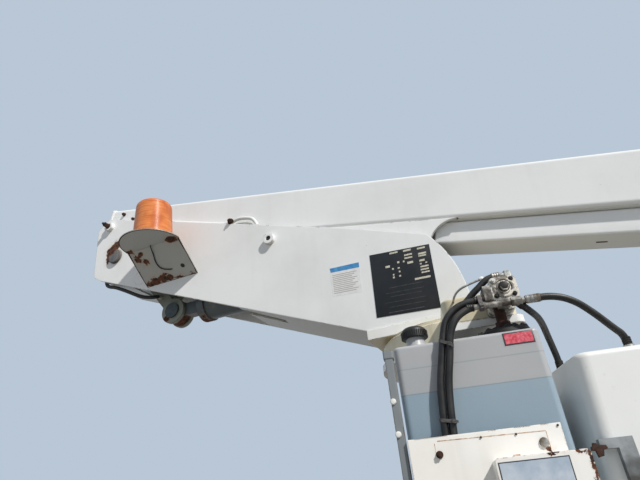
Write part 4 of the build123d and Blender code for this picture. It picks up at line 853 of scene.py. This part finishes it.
# Edge tube: thin steel tube along the near plate's upper edge, painted over, with one
# rusted clamp. It carries the turret's wiring and turns down into the plate.
EDGE_TUBE_Y = -0.121
EDGE_TUBE = [(-1.10, 1.729), (-0.95, 1.674), (-0.80, 1.619), (-0.735, 1.600), (-0.705, 1.612),
             (-0.66, 1.602), (-0.625, 1.585), (-0.612, 1.550)]
stiff_line("edge_tube", "turret", turret_enamel, [(x, EDGE_TUBE_Y, z) for x, z in EDGE_TUBE],
           0.007)
screws("edge_tube_clamp", "turret", "bare_steel", rusty_iron, [((-0.730, -0.129, 1.603), (0, -1, 0))],
       9.5, 12, 13)

# Beacon: amber lens with fine moulded ribs on a black base, on a bent plate bracket.
# The ribs scatter the light, so the lens glows along its sunny side.
amber, add, shader, where = new_finish("ribbed amber polycarbonate")
thin = add("Mapping", {"Vector": where, "Scale": (0.05, 0.05, 1)})
streaks = add("TexNoise", {"Vector": thin, "Scale": 260, "Detail": 3})
banded = add("MapRange", (streaks, 0.35, 0.65))
colour = add("Mix", (banded, srgb("#DB7530"), srgb("#F0A060")), data_type="RGBA")
cloud = add("TexNoise", {"Vector": where, "Scale": 14, "Detail": 3})
deep = add("MapRange", (cloud, 0.5, 0.75))
colour = add("Mix", (deep, colour, srgb("#C35F26")), data_type="RGBA")
fill(shader, {"Base Color": colour, "Roughness": 0.3, "Transmission Weight": 0.15, "Subsurface Weight": 0.3,
              "Subsurface Radius": (0.03, 0.012, 0.003), "Subsurface Scale": 1.0})
LENS_R, LENS_HEIGHT, LENS_TAPER, CROWN_R = 75.7, 156, 0.036, 10
LENS_LEAN = radians(-2.5)
LENS_AT = Matrix.Translation((-1.007, -0.258, 1.543)) @ Matrix.Rotation(LENS_LEAN, 4, "Y")
RIB_PITCH, RIB_DEPTH, RIB_STEP = 4.5, 0.45, 1.1
lens_profile = [(0, 0), (LENS_R - 1, 0)]
for i in range(int((LENS_HEIGHT - 12) / RIB_STEP)):
    up = i * RIB_STEP
    ripple = RIB_DEPTH * cos(2 * pi * up / RIB_PITCH)
    lens_profile.append((LENS_R - up * LENS_TAPER - 0.5 + ripple, up + 0.5))
crown = LENS_R - LENS_HEIGHT * LENS_TAPER - CROWN_R
for i in range(1, 7):
    t = radians(15 * i)
    lens_profile.append((crown + CROWN_R * cos(t), LENS_HEIGHT - CROWN_R + CROWN_R * sin(t)))
lens_profile.append((0, LENS_HEIGHT))
lens = piece_from("beacon_lens_ribbed", "turret", "amber_lens", amber,
                  turned(lens_profile, LENS_AT, 96), sharp=60)
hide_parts("beacon_lens")

# Beacon's bracket: one bent plate welded to the near side plate, its enamel failing.
# Rust has taken the bend's left end, a patch of the web, the foot and the hole's rim.
# Its enamel is painted grey, darker than the turret's white: painted shade on the bracket's underside.
bracket_enamel = enamel("rusting, shade-greyed enamel on the bracket", "#B4B5B1", "#A3A39E", "#9FA09C", 1.0, 0.3, spots=[
    (-912, -258, 1515, 36, 20), (-1118, -262, 1516, 32, 16), (-1086, -240, 1503, 40, 10),
    (-1098, -225, 1489, 30, 18), (-1070, -212, 1479, 32, 18), (-1105, -140, 1421, 26, 20),
    (-1075, -142, 1424, 40, 22), (-1040, -146, 1426, 40, 22), (-1010, -146, 1427, 32, 22),
    (-965, -133, 1416, 40, 9), (-905, -131, 1415, 40, 6), (-1128, -180, 1455, 8, 50)])
dress(bracket_enamel, "beacon_bracket")
WEB_OUT = Vector((0, -0.619, -0.785))
# A black disc on the web where its hole shows dark: painted shade in the hole.
piece_from("bracket_hole_shade", "turret", "black_plastic", black_plastic,
           turned(disc(9, 0.6), pointing((-0.926, -0.1683, 1.4442), WEB_OUT), 20))
OVAL_AT = (Matrix.Translation((-0.912, -0.270, 1.515)) @ Matrix.Diagonal((1.3, 0.8, 1, 1))
           @ pointing((0, 0, 0), (0, 0, -1)))
piece_from("bracket_slot", "turret", "bare_steel", rusty_iron, turned(disc(13, 0.5), OVAL_AT, 24))
WEB = frame_at((-1.1285, -0.13, 1.414), (1, 0, 0), WEB_OUT)
SHELF = frame_at((-1.0045, -0.258, 1.515), (1, 0, 0), (0, 0, -1))
WEB_WIDE, SHELF_R = 248, 124
# Dark strips along the web's and shelf's edges: rust, and painted shade where the plate's edge turns from the
# light.
WEB_EDGE = [(0, 3), (6, 8), (3, 30), (4, 62), (3, 95), (5, 128), (7, 160), (0, 162)]
half_turn = [radians(7.5 * i) for i in range(25)]
rim = [(SHELF_R * cos(t), SHELF_R * sin(t)) for t in half_turn]
rim += [((SHELF_R - 3.5) * cos(t), (SHELF_R - 3.5) * sin(t)) for t in reversed(half_turn)]
piece_from("bracket_edge_rust_and_shade", "turret", "bare_steel", rusty_iron, slab(WEB_EDGE, WEB, FILM),
           slab([(WEB_WIDE - x, y) for x, y in WEB_EDGE], WEB, FILM), slab(rim, SHELF, FILM))

# Boom: rectangular tube folded from sheet and seam welded, with its carrier tube below.
# White enamel outside; the underside is painted greyer as painted shade, with rain marks.
BOOM_SLOPE = radians(13.35)
BOOM_C, BOOM_S = cos(BOOM_SLOPE), sin(BOOM_SLOPE)


def boom_place(u, y, n):
    """A place along (u) and across (n) the stowed boom, in millimetres."""
    return Vector((u * BOOM_C + n * BOOM_S, y, -u * BOOM_S + n * BOOM_C)) / 1000


BOOM_HALF = 108
boom_enamel = enamel("white enamel on the boom", "#EEF0F1", "#E3E5E4", "#B9B8B0", 0.3, 0.06, spots=[
    (*boom_place(-192, -BOOM_HALF, 1333) * 1000, 12, 8)])
dress(boom_enamel, "outer_boom", "boom_front_plate", "boom_bracket_near", "boom_bracket_far",
      "bracket_bosses", "inner_boom", "boom_tip", "bucket_bracket")
CARRIER_AT = frame_at(boom_place(-264, 0, 0), (0, 1, 0), (BOOM_C, 0, -BOOM_S))
CARRIER_LEFT, CARRIER_RIGHT, CARRIER_LOW, CARRIER_HIGH = -84, 28, 1259, 1339
CARRIER_LENGTH, CARRIER_ROUND, CARRIER_WALL, CORNER_STEPS = 2164, 9, 5, 5


def carrier_skin(inset):
    """The carrier tube's outline at a depth in its wall; its corners keep their centres."""
    left, right = CARRIER_LEFT + CARRIER_ROUND, CARRIER_RIGHT - CARRIER_ROUND
    low, high = CARRIER_LOW + CARRIER_ROUND, CARRIER_HIGH - CARRIER_ROUND
    radius = CARRIER_ROUND - inset
    outline = []
    for x, y, start in ((right, high, 0), (left, high, 90), (left, low, 180), (right, low, 270)):
        for i in range(CORNER_STEPS + 1):
            t = radians(start + 90 * i / CORNER_STEPS)
            outline.append((x + radius * cos(t), y + radius * sin(t)))
    return outline


tube = bmesh.new()
outside, inside = carrier_skin(0), carrier_skin(CARRIER_WALL)
loops = ((outside, 0), (outside, CARRIER_LENGTH), (inside, CARRIER_LENGTH), (inside, 0))
band(tube, [[tube.verts.new(CARRIER_AT @ (Vector((x, y, reach)) / 1000)) for x, y in skin]
            for skin, reach in loops])
carrier = piece_from("carrier_tube_folded", "outer_boom", "white_enamel", boom_enamel, tube)
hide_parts("carrier_tube")
CARRIER_BELOW = (CARRIER_AT @ Matrix.Translation((0, CARRIER_LOW / 1000, 0))
                 @ Matrix.Rotation(radians(90), 4, "X"))
# A dark strip in rusted iron's colour where the carrier's drain slot is: painted shade in the open slot.
piece_from("carrier_slot_shade", "outer_boom", "bare_steel", rusty_iron,
           slab(oblong(-34, -26, 467, 497), CARRIER_BELOW, FILM))
pad_nylon = mottled("grey nylon wear pad", "#2B2B2A", "#4A4843", 90, (0.45, 0.55))
dress(pad_nylon, "mouth_pads", "rear_pads")
screws("boom_end_screws", "outer_boom", "bare_steel", rusty_iron,
       [(boom_place(u, y, n), (0, y, 0)) for u, n in ((-1724, 1494), (-1654, 1463))
        for y in (-BOOM_HALF, BOOM_HALF)], 7.5, 10, 9)

# Lift cylinder: a barrel with a screwed gland, on a greasy clevis; barrel, clevis and pin caps are painted
# dark as painted shade.
# Its eye and rim have rusted yellow and brown; the rod is hard chrome.
barrel_shade_paint = enamel("dark grey paint on the barrel, for painted shade", "#525C61", "#444D52", "#4A5257", 0.9, 0.4, spots=[
    (-1060, -10, 1290, 70, 40), (-1035, 0, 1300, 40, 50), (-935, 0, 1262, 45, 35),
    (-920, -30, 1290, 16, 50)])
dress(barrel_shade_paint, "lift_barrel")
# the clevis: grease, and painted shade in its dark blue-grey
clevis_grease_and_shade = enamel("greasy clevis paint, darkened blue-grey for shade", "#85897F", "#5F655F", "#6E726A", 0.8, 0.4, spots=[
    (-1100, -38, 1300, 30, 20)])
dress(clevis_grease_and_shade, "cylinder_lugs")
# cap_oil_and_shade: the pin's keeper caps, dark with oil and painted shade
cap_oil_and_shade = mottled("oily keeper cap, darkened for shade", "#2E383B", "#4B5659", 50, (0.4, 0.6), 0.1, 0.3)
dress(cap_oil_and_shade, "lift_base_pin")
chrome = mottled("hard chrome on ground steel", "#A6A9AC", "#BFC2C4", 200, (0.10, 0.16), 1.0)
dress(chrome, "lift_rod")

# Bucket's control box: moulded dark grey housing with its levers.
control_grey = mottled("dark grey moulded housing", "#2E3032", "#46484A", 70, (0.45, 0.55), 0.0, 0.2)
dress(control_grey, "control_box")
